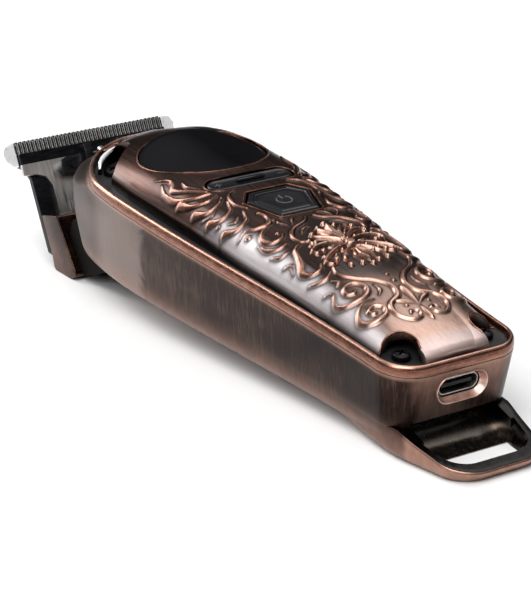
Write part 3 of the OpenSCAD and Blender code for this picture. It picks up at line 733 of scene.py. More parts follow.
def finish_housing(obj):
    """Black plating in the scoop and on top of the loop, worn edges painted lighter where they also stand in
    for highlights, and a smoother nose painted lighter as a painted reflection.
    """
    mesh = obj.data
    centre = face_centres(obj)
    x, y, z = to_body(centre).T
    level_y, level_z = centre[:, 1] / MM - BODY_ORIGIN[1], centre[:, 2] / MM
    normal = np.array([p.normal for p in mesh.polygons])
    up = normal[:, 2]
    scoop = (abs(x) < SCOOP_W + 0.02) & (z > 0.9) & (z < 8.4)
    scoop &= np.hypot(y - SCOOP_Y, z - SCOOP_Z) < SCOOP_R + 0.05
    behind = y < -0.02
    root = (y < 8) & (abs(x) > 8) & (level_z > 4.2) & (level_z < 7.5)
    top = (behind | root) & (up > 0.8)
    wide = 9.0 + 0.33 * np.clip(level_z - 0.6, 0, None) + 0.1
    inner = behind & (abs(x) < wide) & (level_y > -11.9) & (level_y < -3.0)
    inner &= (abs(up) < 0.75) & (level_z > 0.05)
    inner &= normal[:, 0] * x + normal[:, 1] * (level_y + 7) < 0
    plate = behind & (abs(x) < 9.7) & (level_y > -4) & (up > 0.3)
    mesh.polygons.foreach_set("material_index", (scoop | top | inner | plate).astype(int))
    _, y, z = points_of(obj).T
    # Worn edges and painted highlight: the parting line, the foot, the tail face lighter towards its top, and
    # the loop
    wear_and_highlight = 0.5 * np.exp(-((z - PART_Z) / 0.45) ** 2)
    low = FLOOR_Z - y * math.tan(FLOOR_FALL)
    wear_and_highlight = np.maximum(wear_and_highlight, 0.30 * np.exp(-(np.clip(z - low - 2.0, 0, None) / 3.0) ** 2))
    face = unit(1 - y / 1.2) * unit((z - 4) / 12)
    wear_and_highlight = np.maximum(wear_and_highlight, 0.38 * face)
    wear_and_highlight = np.maximum(wear_and_highlight, 0.55 * (y < -0.3) * (y > -17))
    set_attribute(obj, "wear_and_highlight", wear_and_highlight)
    # Painted reflection on the nose from y 78, fading towards the front
    nose = unit((y - 78.0 + 0.12 * (z - 10)) / 0.8)
    set_attribute(obj, "nose", nose * (1 - 0.75 * unit((y - 93) / 5)))
    return obj


settle(make_housing(), "body", "antique_copper", "lower_housing", angle=38)


# ---- Rim ----
def make_rim():
    base = closed(rim_half())
    profile = ((0.30, 0.0), (0.06, 0.10), (0.0, 0.28), (0.0, 1.30), (0.07, 1.62), (0.22, 1.92), (0.45, 2.12),
               (0.68, 2.2), (0.88, 2.16), (1.02, 2.02), (1.1, 1.8), (1.1, 0.0))
    rings = [flat_ring(pulled_in(base, inset), PART_Z + dz) for inset, dz in profile]
    band = loft("band", rings, [m_rim], endless=True)
    # Worn edges and painted highlight lines along the band's lower and upper edges, dark between
    wear_and_highlight = np.repeat([0.1, 0.5, 0.3, 0.0, 0.1, 0.45, 0.8, 0.5, 0.15, 0.0, 0.0, 0.0], len(base))
    inner = pulled_in(base, 0.95)
    front = inner[(inner[:, 1] > 109.4) & (inner[:, 0] > 0.2)]
    right = np.concatenate([front[np.argsort(-front[:, 0])], [[0.0, inner[:, 1].max()]]])
    near = TONGUE_W + 0.1
    block = np.concatenate([[[near, COVER_FRONT + 0.1], [near, 109.2], [10, 109.6]], right])
    outline = np.concatenate([block, (block[:-1] * [-1, 1])[::-1]])
    filler = prism("filler", outline, PART_Z, PART_Z + 2.12, [m_rim])
    bevel(filler, 0.25, 3, 25)
    extra = np.full(len(filler.data.vertices), 0.25)
    obj = joined("rim_band", [band, filler])
    set_attribute(obj, "wear_and_highlight", np.concatenate([wear_and_highlight, extra]))
    return obj


settle(make_rim(), "body", "bright_copper", "rim_frame", angle=40)


# ---- Scrollwork on the cover ----
CURVE_STEP = 0.12


def curve_through(points):
    """Points evenly spaced along a smooth curve through the given ones."""
    p = np.asarray(points, float)
    ext = np.concatenate([[2 * p[0] - p[1]], p, [2 * p[-1] - p[-2]]])
    out = []
    for a, b, c, d in zip(ext, ext[1:], ext[2:], ext[3:]):
        t = np.linspace(0, 1, 24, endpoint=False)[:, None]
        out.append(0.5 * (2 * b + (c - a) * t + (2 * a - 5 * b + 4 * c - d) * t ** 2
                          + (3 * b - a - 3 * c + d) * t ** 3))
    out = np.concatenate(out + [p[-1:]])
    length = np.concatenate([[0], np.cumsum(np.linalg.norm(np.diff(out, axis=0), axis=1))])
    at = np.linspace(0, length[-1], max(8, int(length[-1] / CURVE_STEP)))
    return columns(np.interp(at, length, out[:, 0]), np.interp(at, length, out[:, 1]))


# Each scroll: its points on the right half, its half width at the start, middle and end, and its height
SCROLLS = [
    # upper fan beside the rocker button
    ([(10.5, 69.5), (12.5, 72.5), (14.3, 76.0), (13.2, 79.0), (14.8, 82.5)], (0.35, 0.75, 0.12), 0.5),
    ([(10.3, 68.4), (13.0, 69.8), (15.3, 73.0), (15.6, 77.0), (14.6, 80.0)], (0.3, 0.7, 0.15), 0.55),
    ([(9.8, 67.2), (12.2, 66.7), (14.5, 68.5), (15.6, 71.8)], (0.25, 0.5, 0.85), 0.55),
    ([(9.6, 66.0), (11.4, 64.2), (14.0, 64.2), (15.4, 66.7)], (0.25, 0.5, 0.9), 0.55),
    ([(5.8, 67.1), (8.3, 65.5), (9.3, 61.5), (8.2, 58.7)], (0.25, 0.6, 0.3), 0.5),
    ([(9.6, 64.0), (11.0, 60.6), (13.4, 59.9), (15.1, 61.9)], (0.25, 0.5, 0.85), 0.55),
    ([(9.3, 58.8), (10.6, 55.6), (13.2, 54.8), (14.8, 56.9)], (0.25, 0.55, 0.8), 0.5),
    ([(10.9, 71.8), (12.2, 74.4), (12.0, 76.8)], (0.15, 0.5, 0.15), 0.4),
    ([(12.6, 63.3), (13.9, 62.6), (15.2, 63.6)], (0.15, 0.4, 0.15), 0.35),
    ([(11.0, 57.9), (12.2, 56.8), (13.2, 57.6)], (0.15, 0.4, 0.15), 0.35),
    # below the power button
    ([(7.8, 56.2), (7.2, 53.6), (8.4, 51.2), (10.9, 51.6), (12.6, 53.0), (14.2, 52.4)],
     (0.3, 0.75, 0.15), 0.55),
    ([(4.6, 52.0), (6.0, 51.6), (6.6, 50.2), (5.6, 49.0)], (0.15, 0.5, 0.15), 0.4),
    # flank waves
    ([(9.2, 50.4), (11.0, 49.6), (11.9, 47.6), (11.1, 45.6), (9.2, 45.3), (8.2, 46.6)],
     (0.25, 0.75, 0.25), 0.55),
    ([(12.9, 47.6), (12.7, 45.0), (11.3, 43.2), (9.3, 43.1)], (0.15, 0.65, 0.2), 0.5),
    ([(13.0, 42.9), (12.1, 41.2), (10.4, 40.9)], (0.15, 0.5, 0.15), 0.4),
    ([(7.9, 41.3), (9.5, 40.5), (10.2, 38.5), (10.9, 36.3), (11.8, 34.3), (11.0, 32.4), (9.3, 32.2),
      (8.3, 33.6)], (0.3, 0.8, 0.3), 0.55),
    ([(12.9, 38.8), (12.0, 37.6), (12.6, 35.9)], (0.15, 0.5, 0.15), 0.35),
    ([(12.4, 31.2), (11.3, 29.9), (9.7, 29.5), (8.2, 30.4)], (0.15, 0.65, 0.2), 0.45),
    # round the top of the palmette
    ([(0.6, 50.2), (2.3, 48.4), (5.7, 46.9), (7.5, 44.3), (7.3, 41.8), (5.6, 41.2)], (0.3, 0.65, 0.3), 0.5),
    ([(2.4, 51.4), (3.6, 50.6), (4.6, 48.9)], (0.15, 0.5, 0.15), 0.4),
    ([(2.2, 46.6), (4.0, 46.0), (5.4, 44.6)], (0.15, 0.45, 0.15), 0.4),
    # from the palmette to the tail volutes
    ([(7.3, 31.5), (7.9, 28.6), (6.1, 26.0), (3.2, 23.8), (1.5, 20.9), (2.2, 18.0), (4.8, 16.4), (5.6, 14.1),
      (4.9, 12.2), (3.3, 10.8), (1.7, 11.2), (1.4, 12.6), (2.4, 13.2), (3.1, 12.4)], (0.3, 0.75, 0.3), 0.6),
    ([(12.0, 26.8), (11.1, 25.4), (11.9, 23.2), (10.7, 21.0), (7.6, 20.5), (5.9, 22.4), (6.9, 24.7),
      (9.0, 24.9), (9.7, 23.4), (8.7, 22.4), (7.9, 22.9)], (0.2, 0.72, 0.4), 0.6),
    ([(6.6, 19.0), (9.6, 18.9), (11.3, 16.6), (10.2, 14.3), (7.4, 14.3), (6.5, 16.1), (7.7, 17.4),
      (9.2, 16.9), (9.0, 15.8), (8.2, 15.7)], (0.3, 0.7, 0.4), 0.6),
    ([(4.1, 22.9), (4.0, 20.9), (5.2, 19.5)], (0.15, 0.45, 0.15), 0.4),
    ([(9.6, 28.3), (8.9, 26.9), (9.8, 26.0)], (0.15, 0.45, 0.15), 0.4),
]
# The palmette's petals, drawn like the scrolls but taller
PALMETTE = [
    ([(0.3, 38.6), (1.0, 41.4), (2.6, 43.4), (4.0, 43.0)], (0.45, 0.62, 0.3), 1.0),
    ([(0.6, 38.2), (2.4, 40.2), (4.6, 41.4), (6.2, 40.9), (6.0, 39.8)], (0.4, 0.62, 0.3), 0.95),
    ([(0.8, 37.4), (3.2, 38.4), (5.6, 38.6), (7.6, 37.6), (7.4, 36.2), (6.2, 36.2)], (0.4, 0.62, 0.3), 0.95),
    ([(0.9, 36.2), (3.2, 35.9), (5.6, 34.8), (7.6, 33.0), (6.9, 31.5), (5.6, 32.2)], (0.4, 0.62, 0.3), 0.9),
    ([(0.7, 35.2), (2.4, 34.2), (3.9, 32.2), (4.0, 30.4)], (0.4, 0.6, 0.3), 0.9),
    ([(0.4, 34.6), (1.5, 32.6), (1.7, 30.2)], (0.35, 0.5, 0.25), 0.85),
    ([(2.2, 37.2), (3.4, 36.9), (4.4, 37.2)], (0.2, 0.4, 0.2), 0.8),
    ([(1.6, 40.6), (2.6, 41.9), (3.6, 42.0)], (0.2, 0.3, 0.2), 0.9),
]
# Tapered leaves of the palmette and of the tail flower: foot, tip, half width, height
LEAVES = [
    ((0.0, 37.0), (0.0, 45.0), 0.95, 1.0), ((0.0, 35.4), (0.0, 29.6), 0.8, 0.9),
    ((0.0, 14.4), (0.0, 20.4), 0.85, 0.6), ((0.3, 14.6), (3.6, 16.6), 0.6, 0.5),
    ((0.0, 14.2), (0.0, 9.8), 0.65, 0.5),
]
BEADS = [(0, 36.3, 1.15, 1.25), (0, 45.4, 0.55, 0.9), (4.5, 42.5, 0.6, 1.0), (5.5, 39.7, 0.5, 0.9),
         (5.9, 36.4, 0.55, 0.9), (5.5, 32.6, 0.6, 0.95), (4.1, 29.9, 0.5, 0.8), (1.8, 29.5, 0.5, 0.8),
         (0.0, 28.7, 0.5, 0.8), (2.7, 35.0, 0.4, 0.85), (2.6, 38.9, 0.35, 0.8), (7.0, 34.6, 0.4, 0.7),
         (4.7, 34.0, 0.35, 0.8), (2.9, 33.0, 0.35, 0.8), (6.9, 39.4, 0.35, 0.6), (1.9, 44.6, 0.42, 0.7),
         (12.9, 51.0, 0.5, 0.45), (9.0, 47.2, 0.42, 0.4), (14.4, 59.2, 0.35, 0.35), (2.4, 14.9, 0.36, 0.35),
         (0.0, 22.4, 0.4, 0.4), (0.0, 24.6, 0.34, 0.4), (6.9, 51.9, 0.34, 0.35)]


def ribbon_samples():
    """Every scroll, leaf and bead as discs: x, y, radius, height and which curve it belongs to."""
    rows = []
    for points, (w0, w1, w2), height in SCROLLS + PALMETTE:
        p = curve_through(points)
        t = np.linspace(0, 1, len(p))
        w = np.interp(t, [0, 0.5, 1], [w0, w1, w2])
        w = 0.8 * w * unit(np.minimum(t, 1 - t) * 30 + 0.35)
        rows.append((p, w, np.full(len(p), 0.85 * height)))
    for foot, tip, w, height in LEAVES:
        t = np.linspace(0, 1, 70)
        p = np.outer(1 - t, foot) + np.outer(t, tip)
        bow = 0.10 * np.sin(math.pi * t) * np.hypot(tip[0] - foot[0], tip[1] - foot[1])
        p[:, 1] += bow * (1 if tip[0] > 0.1 and tip[1] > foot[1] else 0)
        shape = np.maximum(0.14, np.sin(math.pi * unit(t * 0.92 + 0.08)) ** 0.8 * (0.45 + 0.75 * t))
        rows.append((p, w * np.minimum(shape, 1.0), height * (0.55 + 0.45 * t)))
    for x, y, r, height in BEADS:
        rows.append((np.array([[x, y]], float), np.array([r]), np.array([height])))
    return rows


RIBBONS = ribbon_samples()


def relief_at(x, y):
    """Height of the scrollwork over the cover at each point, and how deep in its shadow lines it is."""
    ax = np.abs(x)
    height = np.zeros(len(x))
    painted_shade = np.zeros(len(x))
    margin = 1.0
    order = np.argsort(y)
    ys = y[order]
    for p, w, h in RIBBONS:
        lo, hi = p.min(0) - w.max() - margin, p.max(0) + w.max() + margin
        i = order[np.searchsorted(ys, lo[1]):np.searchsorted(ys, hi[1])]
        i = i[(ax[i] >= lo[0]) & (ax[i] <= hi[0])]
        for k in range(0, len(i), 20000):
            j = i[k:k + 20000]
            d = np.hypot(ax[j][:, None] - p[:, 0], y[j][:, None] - p[:, 1])
            if lo[0] < 1.5:
                d = np.minimum(d, np.hypot(ax[j][:, None] + p[:, 0], y[j][:, None] - p[:, 1]))
            best = (d / w).argmin(1)
            inside = unit((w[best] - d[np.arange(len(j)), best] + 0.14) / 0.46)
            dome = h[best] * inside ** 2 * (3 - 2 * inside)
            height[j] = np.maximum(height[j], dome)
            outside = (d - w).min(1)
            shadow = np.exp(-(np.clip(outside, 0, None) / 0.42) ** 2)
            painted_shade[j] = np.maximum(painted_shade[j], shadow)
    painted_shade *= unit(1 - height / 0.12)
    return height, painted_shade


# ---- Top cover ----
EMBLEM_X, EMBLEM_Y, EMBLEM_REACH = 8.4, 36.4, 10.6
CROWN_Z, CROWN_MID, CROWN_TAIL, CROWN_RUN = 26.3, 62.0, 5.7, 52


def crown_at(y):
    y = np.asarray(y, float)
    rear = CROWN_Z - CROWN_TAIL * np.clip(1 - (y - COVER_Y0) / (CROWN_MID - COVER_Y0), 0, 1.2) ** 3
    t = (np.maximum(y, CROWN_MID) - CROWN_MID) / CROWN_RUN
    return np.where(y < CROWN_MID, rear, CROWN_Z - 2.2 * t ** 2 - 5.2 * t ** 8)


def cover_w(y):
    y = np.asarray(y, float)
    rear = COVER_SHARE * TAIL_W - COVER_R + np.sqrt(
        np.clip(COVER_R ** 2 - np.clip(COVER_R + COVER_Y0 - y, 0, None) ** 2, 0, None))
    side = COVER_SHARE * side_w(y)
    corner = CORNER_C[0] + np.sqrt(np.clip(CORNER_R ** 2 - np.clip(y - CORNER_C[1], 0, None) ** 2, 0, None))
    front = np.where(y < CORNER_C[1], side, np.minimum(side, corner))
    w = np.where(y < COVER_Y0 + COVER_R, np.minimum(rear, side), front)
    return np.maximum(w, np.where(y > 60, TONGUE_W, 0.5))


def crown_z(x, y, w):
    """Height of the plain crown at x, on the section whose half width is w."""
    z = crown_at(y)
    h = np.maximum(0.3, np.minimum(6.0, 0.92 * (z - COVER_BASE)))
    s = 0.58 * w
    a = np.abs(x)
    t = unit((a - (w - s)) / s)
    z = z - 0.3 * unit(a / (w - s)) ** 2 - h * (1 - np.sqrt(unit(1 - t ** 2)))
    end = unit((y - COVER_Y0) / 1.4)
    return z - 0.9 * (1 - np.sqrt(unit(1 - (1 - end) ** 2)))


def crown_solid(name, ny, nx, inset, drop, base, detailed):
    ends = np.array([0, 0.06, 0.14, 0.25, 0.4, 0.6, 0.8])
    y0, y1 = COVER_Y0 + inset, COVER_FRONT - inset
    y = np.concatenate([y0 + ends, np.linspace(y0 + 1, y1, ny)])
    u = np.sin(np.linspace(-1, 1, nx) * math.pi / 2) * 0.3 + np.linspace(-1, 1, nx) * 0.7
    w = cover_w(y - inset * np.where(y < 50, 1, -1)) - inset
    gy = np.repeat(y[:, None], nx, 1)
    gx = w[:, None] * u[None, :]
    gz = crown_z(gx, gy, np.repeat(w[:, None], nx, 1)) - drop
    if detailed:
        gz = gz + relief_at(gx.ravel(), gy.ravel())[0].reshape(gz.shape)
    gz = np.maximum(gz, base + 0.05)
    top = np.stack([gx, gy, gz], -1).reshape(-1, 3)
    rows = len(y)
    faces = strip_faces(rows, nx, closed=False)
    loop = list(range(nx)) + [r * nx + nx - 1 for r in range(1, rows)]
    loop += [(rows - 1) * nx + i for i in range(nx - 2, -1, -1)] + [r * nx for r in range(rows - 2, 0, -1)]
    start = len(top)
    low = top[loop].copy()
    low[:, 2] = base
    n = len(loop)
    faces += [[loop[i], loop[(i + 1) % n], start + (i + 1) % n, start + i] for i in range(n)]
    faces.append([start + i for i in range(n)])
    obj = new_object(name, np.concatenate([top, low]), faces, [m_crown, m_rim] if detailed else [])
    outward(obj)
    return obj


LENS_W, LENS_Y, LENS_FRONT, LENS_REAR, LENS_TOP, LENS_DOME = 13.5, 88.8, 10.4, 12.4, 25.8, 47.6
ROCKER_L, ROCKER_W, ROCKER_Y, POWER_Y = 19.0, 4.8, 70.9, 58.6
KEY_Z, ICON_Z, ICON_R = 26.2, 26.33, 0.16
THROUGH = (10, 40)
HEXAGON = np.array([[4.4, 5.9], [7.1, 2.3], [4.4, -5.9], [-4.4, -5.9], [-7.1, 2.3], [-4.4, 5.9]])
REAR_SCREW, FRONT_SCREW, SCREW_Z = (9.1, 6.6), (14.0, 100.3), 18.2


def lens_outline(grow):
    c, s = circle(120)
    reach = np.where(s > 0, LENS_FRONT, LENS_REAR) + grow
    return columns((LENS_W + grow) * c, LENS_Y + reach * s)


def hexagon(grow, radius=0.5):
    return rounded(HEXAGON * (1 + grow / 6), radius)[::-1] + [0, POWER_Y]


def front_pocket(lip):
    """The D-shaped pocket over a front screw, on the right side, open to the side behind its bright lip."""
    path = arc(CORNER_C[0], CORNER_C[1], CORNER_R - lip, 33, 74, 26)
    a = math.radians(33)
    mouth = [CORNER_C + 16 * np.array([math.cos(a), math.sin(a)])]
    inner = np.array([[9.3, 102.3], [9.9, 100.6], [16.6, 95.2], [20.5, 94.0]])
    return rounded(np.concatenate([mouth, path, inner]), [0] + [0.02] * len(path) + [0.8, 0.8, 0.9, 0], 6)


def rear_pocket(grow=0.0):
    """The pocket over a rear screw, open to the rear and to the side."""
    cx, cy, r = REAR_SCREW[0] + 0.5, REAR_SCREW[1], 3.3 + grow
    top = arc(cx, cy, r, 40, 205, 26)
    return np.concatenate([[[20, -4], [20, cy + r * 0.55]], [[cx + r * 0.98, cy + r * 0.6]], top,
                           [[6.9 - grow, 4.3], [6.9 - grow, -4]]])


def mirrored_tool(name, outline, z0, z1):
    right = prism(name, outline, z0, z1)
    left = prism(name + "_l", (outline * [-1, 1])[::-1], z0, z1)
    return joined(name, [right, left])


def make_cover():
    cover = crown_solid("cover", 620, 196, 0.0, 0.0, COVER_BASE, True)
    combine(cover, crown_solid("cover_room", 60, 30, 1.4, 1.2, COVER_BASE - 3, False))
    tools = [prism("lens_cut", lens_outline(0.05), *THROUGH),
             prism("rocker_cut", stadium(ROCKER_L + 0.8, ROCKER_W + 0.8) + [0, ROCKER_Y], *THROUGH),
             prism("power_cut", hexagon(0.35), *THROUGH),
             mirrored_tool("front_cut", front_pocket(0.8), *THROUGH),
             mirrored_tool("rear_cut", rear_pocket(), *THROUGH)]
    combine(cover, joined("cover_cut", tools))
    x, y, z = points_of(cover).T
    up, painted_shade = relief_at(x, y)
    w = cover_w(y)
    on_top = (z > crown_z(x, y, w) - 0.3).astype(float)
    set_attribute(cover, "raised", unit(up / 0.4) * on_top)
    bare = unit(1 - (y - 7) / 24)
    # Painted shade in the scrolls' shadow lines and down the cover's side wall into the groove
    skirt = unit((21.2 - z) / 1.6) * unit((y - 1.95) / 6)
    dark = painted_shade * on_top * (0.9 - 0.35 * bare)
    # Painted sheen on the side shoulders towards the tail and along the tail end, off the scrolls
    side = unit((np.abs(x) / w - 0.72) / 0.18) * unit((66 - y) / 16)
    painted_sheen = np.maximum(side, unit(1 - (y - COVER_Y0) / 5.0)) * (1 - unit(up / 0.3))
    skirt = skirt * unit((y - 48) / 16) + 0.9 * unit((18.9 - z) / 0.3)
    set_attribute(cover, "painted_sheen", 0.9 * painted_sheen * on_top)
    set_attribute(cover, "bare", bare)
    near = np.hypot(x / EMBLEM_X, (y - EMBLEM_Y) / EMBLEM_REACH)
    set_attribute(cover, "emblem", 0.75 * unit(up / 0.5) * unit((1 - near) * 8) * on_top)
    # Painted shade in a halo round the emblem, and on every face below the top
    dark = np.maximum(dark, 0.8 * unit((1.25 - near) * 3) * unit(1 - up / 0.15) * on_top)
    set_attribute(cover, "painted_shade", np.maximum(np.maximum(dark, skirt), 1 - on_top))
    # Worn rear edge of the cover, also a painted highlight
    set_attribute(cover, "wear_and_highlight", 0.5 * unit(1 - (y - COVER_Y0) / 3.0) * on_top)
    return cover


settle(make_cover(), "body", "antique_copper", "top_cover", angle=50)


def on_crown(outline, lift):
    o = np.asarray(outline, float)
    return columns(o, crown_z(o[:, 0], o[:, 1], cover_w(o[:, 1])) + lift)


def bead(name, outline, radius, lift, material, closed_path=True, taper=None):
    obj = tube(name, on_crown(outline, lift), radius, [material], closed=closed_path, taper=taper)
    # A little edge wear and painted highlight on every bead
    set_attribute(obj, "wear_and_highlight", np.full(len(obj.data.vertices), 0.1))
    return settle(obj, "body", "bright_copper")


bead("lens_lip", lens_outline(0.22), 0.2, 0.0, m_rim)
bead("rocker_lip", stadium(ROCKER_L + 1.2, ROCKER_W + 1.2, 20) + [0, ROCKER_Y], 0.16, 0.0, m_rim)
bead("power_lip", hexagon(0.62, 0.7), 0.22, 0.02, m_rim)
for side in (1, -1):
    tag = "right" if side > 0 else "left"
    # The pocket lips are white beads in the glint steel, a painted highlight
    lip = arc(CORNER_C[0], CORNER_C[1], CORNER_R - 0.45, 31, 71, 30) * [side, 1]
    ends = np.sin(np.linspace(0.12, math.pi - 0.12, 30)) ** 0.35
    bead(f"pocket_lip_{tag}", lip, 0.5, 0.3, m_glint_steel, closed_path=False, taper=ends)
    notch = rear_pocket(0.12)[2:-1] * [side, 1]
    bead(f"notch_lip_{tag}", notch, 0.2, 0.0, m_rim, closed_path=False)


# ---- Lens ----
def make_lens():
    def ring(o, drop=0.0):
        return columns(o, LENS_TOP - o[:, 0] ** 2 / (2 * LENS_DOME) + drop)
    steps = ((0.0, -1.0), (0.0, -0.22), (-0.08, -0.08), (-0.22, 0.0))
    rings = [ring(lens_outline(grow - 0.03), drop) for grow, drop in steps]
    centre = np.array([0, LENS_Y])
    o = lens_outline(-0.25)
    rings += [ring(centre + (o - centre) * k) for k in np.linspace(0.9, 0.06, 10)]
    return loft("display_glass", rings, [m_gloss])


settle(make_lens(), "body", "black_lens", "display_lens")


# ---- Buttons ----
def stacked(name, outline_at, steps, dome, material):
    """Rings of one outline at several sizes and heights; dome(x, y) is added to each height."""
    rings = []
    for grow, z in steps:
        ring = flat_ring(outline_at(grow), z)
        ring[:, 2] += dome(ring[:, 0], ring[:, 1])
        rings.append(ring)
    return loft(name, rings, [material])


def rocker_dome(x, y):
    return crown_z(x, y, cover_w(y)) - CROWN_Z


def make_rocker():
    def outline(grow):
        return stadium(ROCKER_L + grow, ROCKER_W + grow, 18) + [0, ROCKER_Y]
    steps = ((0, 24.6), (0, 25.95), (-0.15, 26.2), (-0.5, 26.34), (-1.1, 26.38), (-1.5, 26.3), (-3.2, 26.24),
             (-4.4, 26.24))
    bits = [stacked("rocker_body", outline, steps, rocker_dome, m_key)]

    def bar(x0, x1, y0, y1, lift, material):
        o = rounded([[x0, y0], [x1, y0], [x1, y1], [x0, y1]], min(x1 - x0, y1 - y0) * 0.45, 5)
        r = [columns(q, KEY_Z + z + rocker_dome(q[:, 0], q[:, 1]))
             for q, z in ((o, 0.0), (o, lift - 0.08), ((o - o.mean(0)) * 0.9 + o.mean(0), lift))]
        bits.append(loft("bar", r, [material]))
    yc = ROCKER_Y
    bar(-3.3, 3.3, yc - 0.55, yc + 0.45, 0.42, m_key)
    bar(-8.1, -6.5, yc - 0.12, yc + 0.12, 0.1, m_icon)
    bar(-7.42, -7.18, yc - 0.8, yc + 0.8, 0.11, m_icon)
    bar(6.5, 8.1, yc - 0.12, yc + 0.12, 0.1, m_icon)
    for x in (-7, 7):
        bits.append(lathe("stem", ((1.2, 23.52), (1.2, 24.9)), (x, yc), m_key, 20))
    bits.append(prism("hub", stadium(3.0, 3.0, 8) + [0, yc], 24.55, 24.9, [m_key]))
    return joined("rocker_key_top", bits)


settle(make_rocker(), "rocker_key", "black_plastic", "rocker_button")


def make_power():
    steps = ((0, 23.7), (0, 25.95), (-0.12, 26.2), (-0.4, 26.36), (-0.9, 26.38), (-1.05, 26.2), (-1.3, 26.16),
             (-1.45, 26.3), (-1.75, 26.38), (-2.6, 26.34), (-4.4, 26.28), (-5.6, 26.26))
    body = stacked("power_body", lambda g: hexagon(g, 0.6 + 0.1 * g), steps, lambda x, y: 0, m_key)
    flange = prism("power_flange", hexagon(1.0), 23.66, 24.15, [m_key])
    a = np.radians(np.linspace(125, 415, 40))
    ring = columns(1.55 * np.cos(a), POWER_Y + 1.55 * np.sin(a), np.full(40, ICON_Z))
    icon = tube("icon_ring", ring, ICON_R, [m_icon], sides=8)
    stroke = [[0, POWER_Y + up, ICON_Z] for up in (0.5, 1.3, 2.1)]
    line = tube("icon_line", stroke, ICON_R, [m_icon], sides=8)
    return joined("power_key_top", [body, flange, icon, line])


settle(make_power(), "power_key", "black_plastic", "power_button")


# ---- Screws of the cover ----
def make_screws():
    heads = []
    for cx, cy in (REAR_SCREW, FRONT_SCREW):
        for side in (1, -1):
            x, z = cx * side, SCREW_Z
            head = lathe("head", ((0.9, z - 9), (0.9, z), (1.7, z), (1.75, z + 0.5), (1.6, z + 0.95),
                                  (1.2, z + 1.22), (0.6, z + 1.32)), (x, cy), m_dark_steel)
            for angle in (35, 125):
                c, s = math.cos(math.radians(angle)), math.sin(math.radians(angle))
                o = np.array([[-1.05, -0.24], [1.05, -0.24], [1.05, 0.24], [-1.05, 0.24]]) @ [[c, s], [-s, c]]
                combine(head, prism("slot", o + [x, cy], z + 0.55, z + 3))
            heads.append(head)
    return joined("cover_screw_heads", heads)


settle(make_screws(), "body", "black_steel", "cover_screws")


# ---- Inlet ----
def make_inlet_ring():
    steps = ((0.1, 2.3), (-0.02, 2.2), (-0.05, 2.05), (-0.02, 1.85), (0.5, 1.4), (1.2, 0.7), (1.3, 0.45),
             (1.31, 2.3))
    # The lip in the lighter copper, a painted highlight
    return loft("inlet_ring", inlet_rings(steps), [m_lip], endless=True)


settle(make_inlet_ring(), "body", "bright_copper")


def make_contacts():
    pads = []
    for x in np.linspace(-2.5, 2.5, 6):
        for z in (0.36, -0.36):
            o = [[x - 0.13, 2.0], [x + 0.13, 2.0], [x + 0.13, 5.6], [x - 0.13, 5.6]]
            lo, hi = sorted((USB_Z + z - 0.02, USB_Z + z + 0.02))
            pads.append(prism("pad", o, lo, hi, [m_gold]))
    return joined("inlet_contacts", pads)


settle(make_contacts(), "body", "brass")
settle(soften("usb_shell", 0.08), "body", "steel", "usb_shell")


# ---- Neck and chin ----
# Where the fixed blade's bright ends start, across and up, and its teeth; the moving blade's band and teeth.
# The bright ends are bare steel painted near-white, a painted highlight; the band is black, a painted dark
# reflection of a hollow grind.
END_X, END_UP, FIXED_TEETH, BAND_UP, MOVING_TEETH = 18.2, 19.2, 24.3, 19.8, 22.1
BLADE_A = math.radians(56.5)
COS_B, SIN_B = math.cos(BLADE_A), math.sin(BLADE_A)
FOOT = np.array([123.1, -8.9])
FIXED_T, NECK_W, CHIN_W = 1.4, 14.4, 16


def on_blade(up, off):
    return (FOOT[0] + up * COS_B - off * SIN_B,
            FOOT[1] + up * SIN_B + off * COS_B)


def table_at(y):
    return 1.07 - y * math.tan(PITCH)


def across(name, profile, half, material, edge, segments=4):
    return bevel(sideways(name, profile, -half, half, [material]), edge, segments, 40)


def make_neck():
    corners = [(98, -2.2), (104, 3), (112, 4.5), (115.8, 1.8), (117.15, -1.7), (110.68, -8.95), (106, -6.8)]
    profile = rounded(corners, [0.3, 0.3, 0.3, 1.2, 0.6, 0.8, 2.5], 6)
    neck = across("neck", profile, NECK_W, m_neck, 0.9)
    combine(neck, loft("neck_room", housing_rings(-0.02, 9), []))
    return combine(neck, shaft_bore(4.2, 108, 130, 32))


settle(make_neck(), "body", "black_plastic", "head_neck")


def blade_block(name, lo, hi):
    """A box drawn on the blade's axes: across, up the blade and off its skin side."""
    corners = [(lo[1], lo[2]), (hi[1], lo[2]), (hi[1], hi[2]), (lo[1], hi[2])]
    profile = np.array([on_blade(u, v) for u, v in corners])
    return sideways(name, profile, lo[0], hi[0])


def make_chin():
    back = FIXED_T + 0.02
    profile = rounded([(110.7, -9), (120, 1.4), on_blade(8.6, back), on_blade(-0.6, back),
                       (120.6, table_at(120.6)), (113.6, table_at(113.6))], [1.2, 0.9, 0.3, 0.5, 1.6, 2.4], 8)
    # The bracket in the darker chin copper, painted shade
    chin = across("chin", profile, CHIN_W, m_chin, 1.1, 5)
    combine(chin, blade_block("recess", (-13.4, 5, 0), (13.4, 12, back + 2.6)))
    for x in (-8, 8):
        combine(chin, blade_block("screw_way", (x - 0.95, 1.55, 0), (x + 0.95, 3.45, 6)))
    return chin


settle(make_chin(), "body", "bright_copper", "blade_bracket")


# ---- Blades ----
def blade_faces(obj, rule):
    """Picks each face's material from its place on the blade: across and up."""
    c = to_body(face_centres(obj))
    up = (c[:, 1] - FOOT[0]) * COS_B + (c[:, 2] - FOOT[1]) * SIN_B
    obj.data.polygons.foreach_set("material_index", rule(c[:, 0], up).astype(int))


def dress(obj, *materials):
    obj.data.materials.clear()
    for m in materials:
        obj.data.materials.append(m)
    return obj


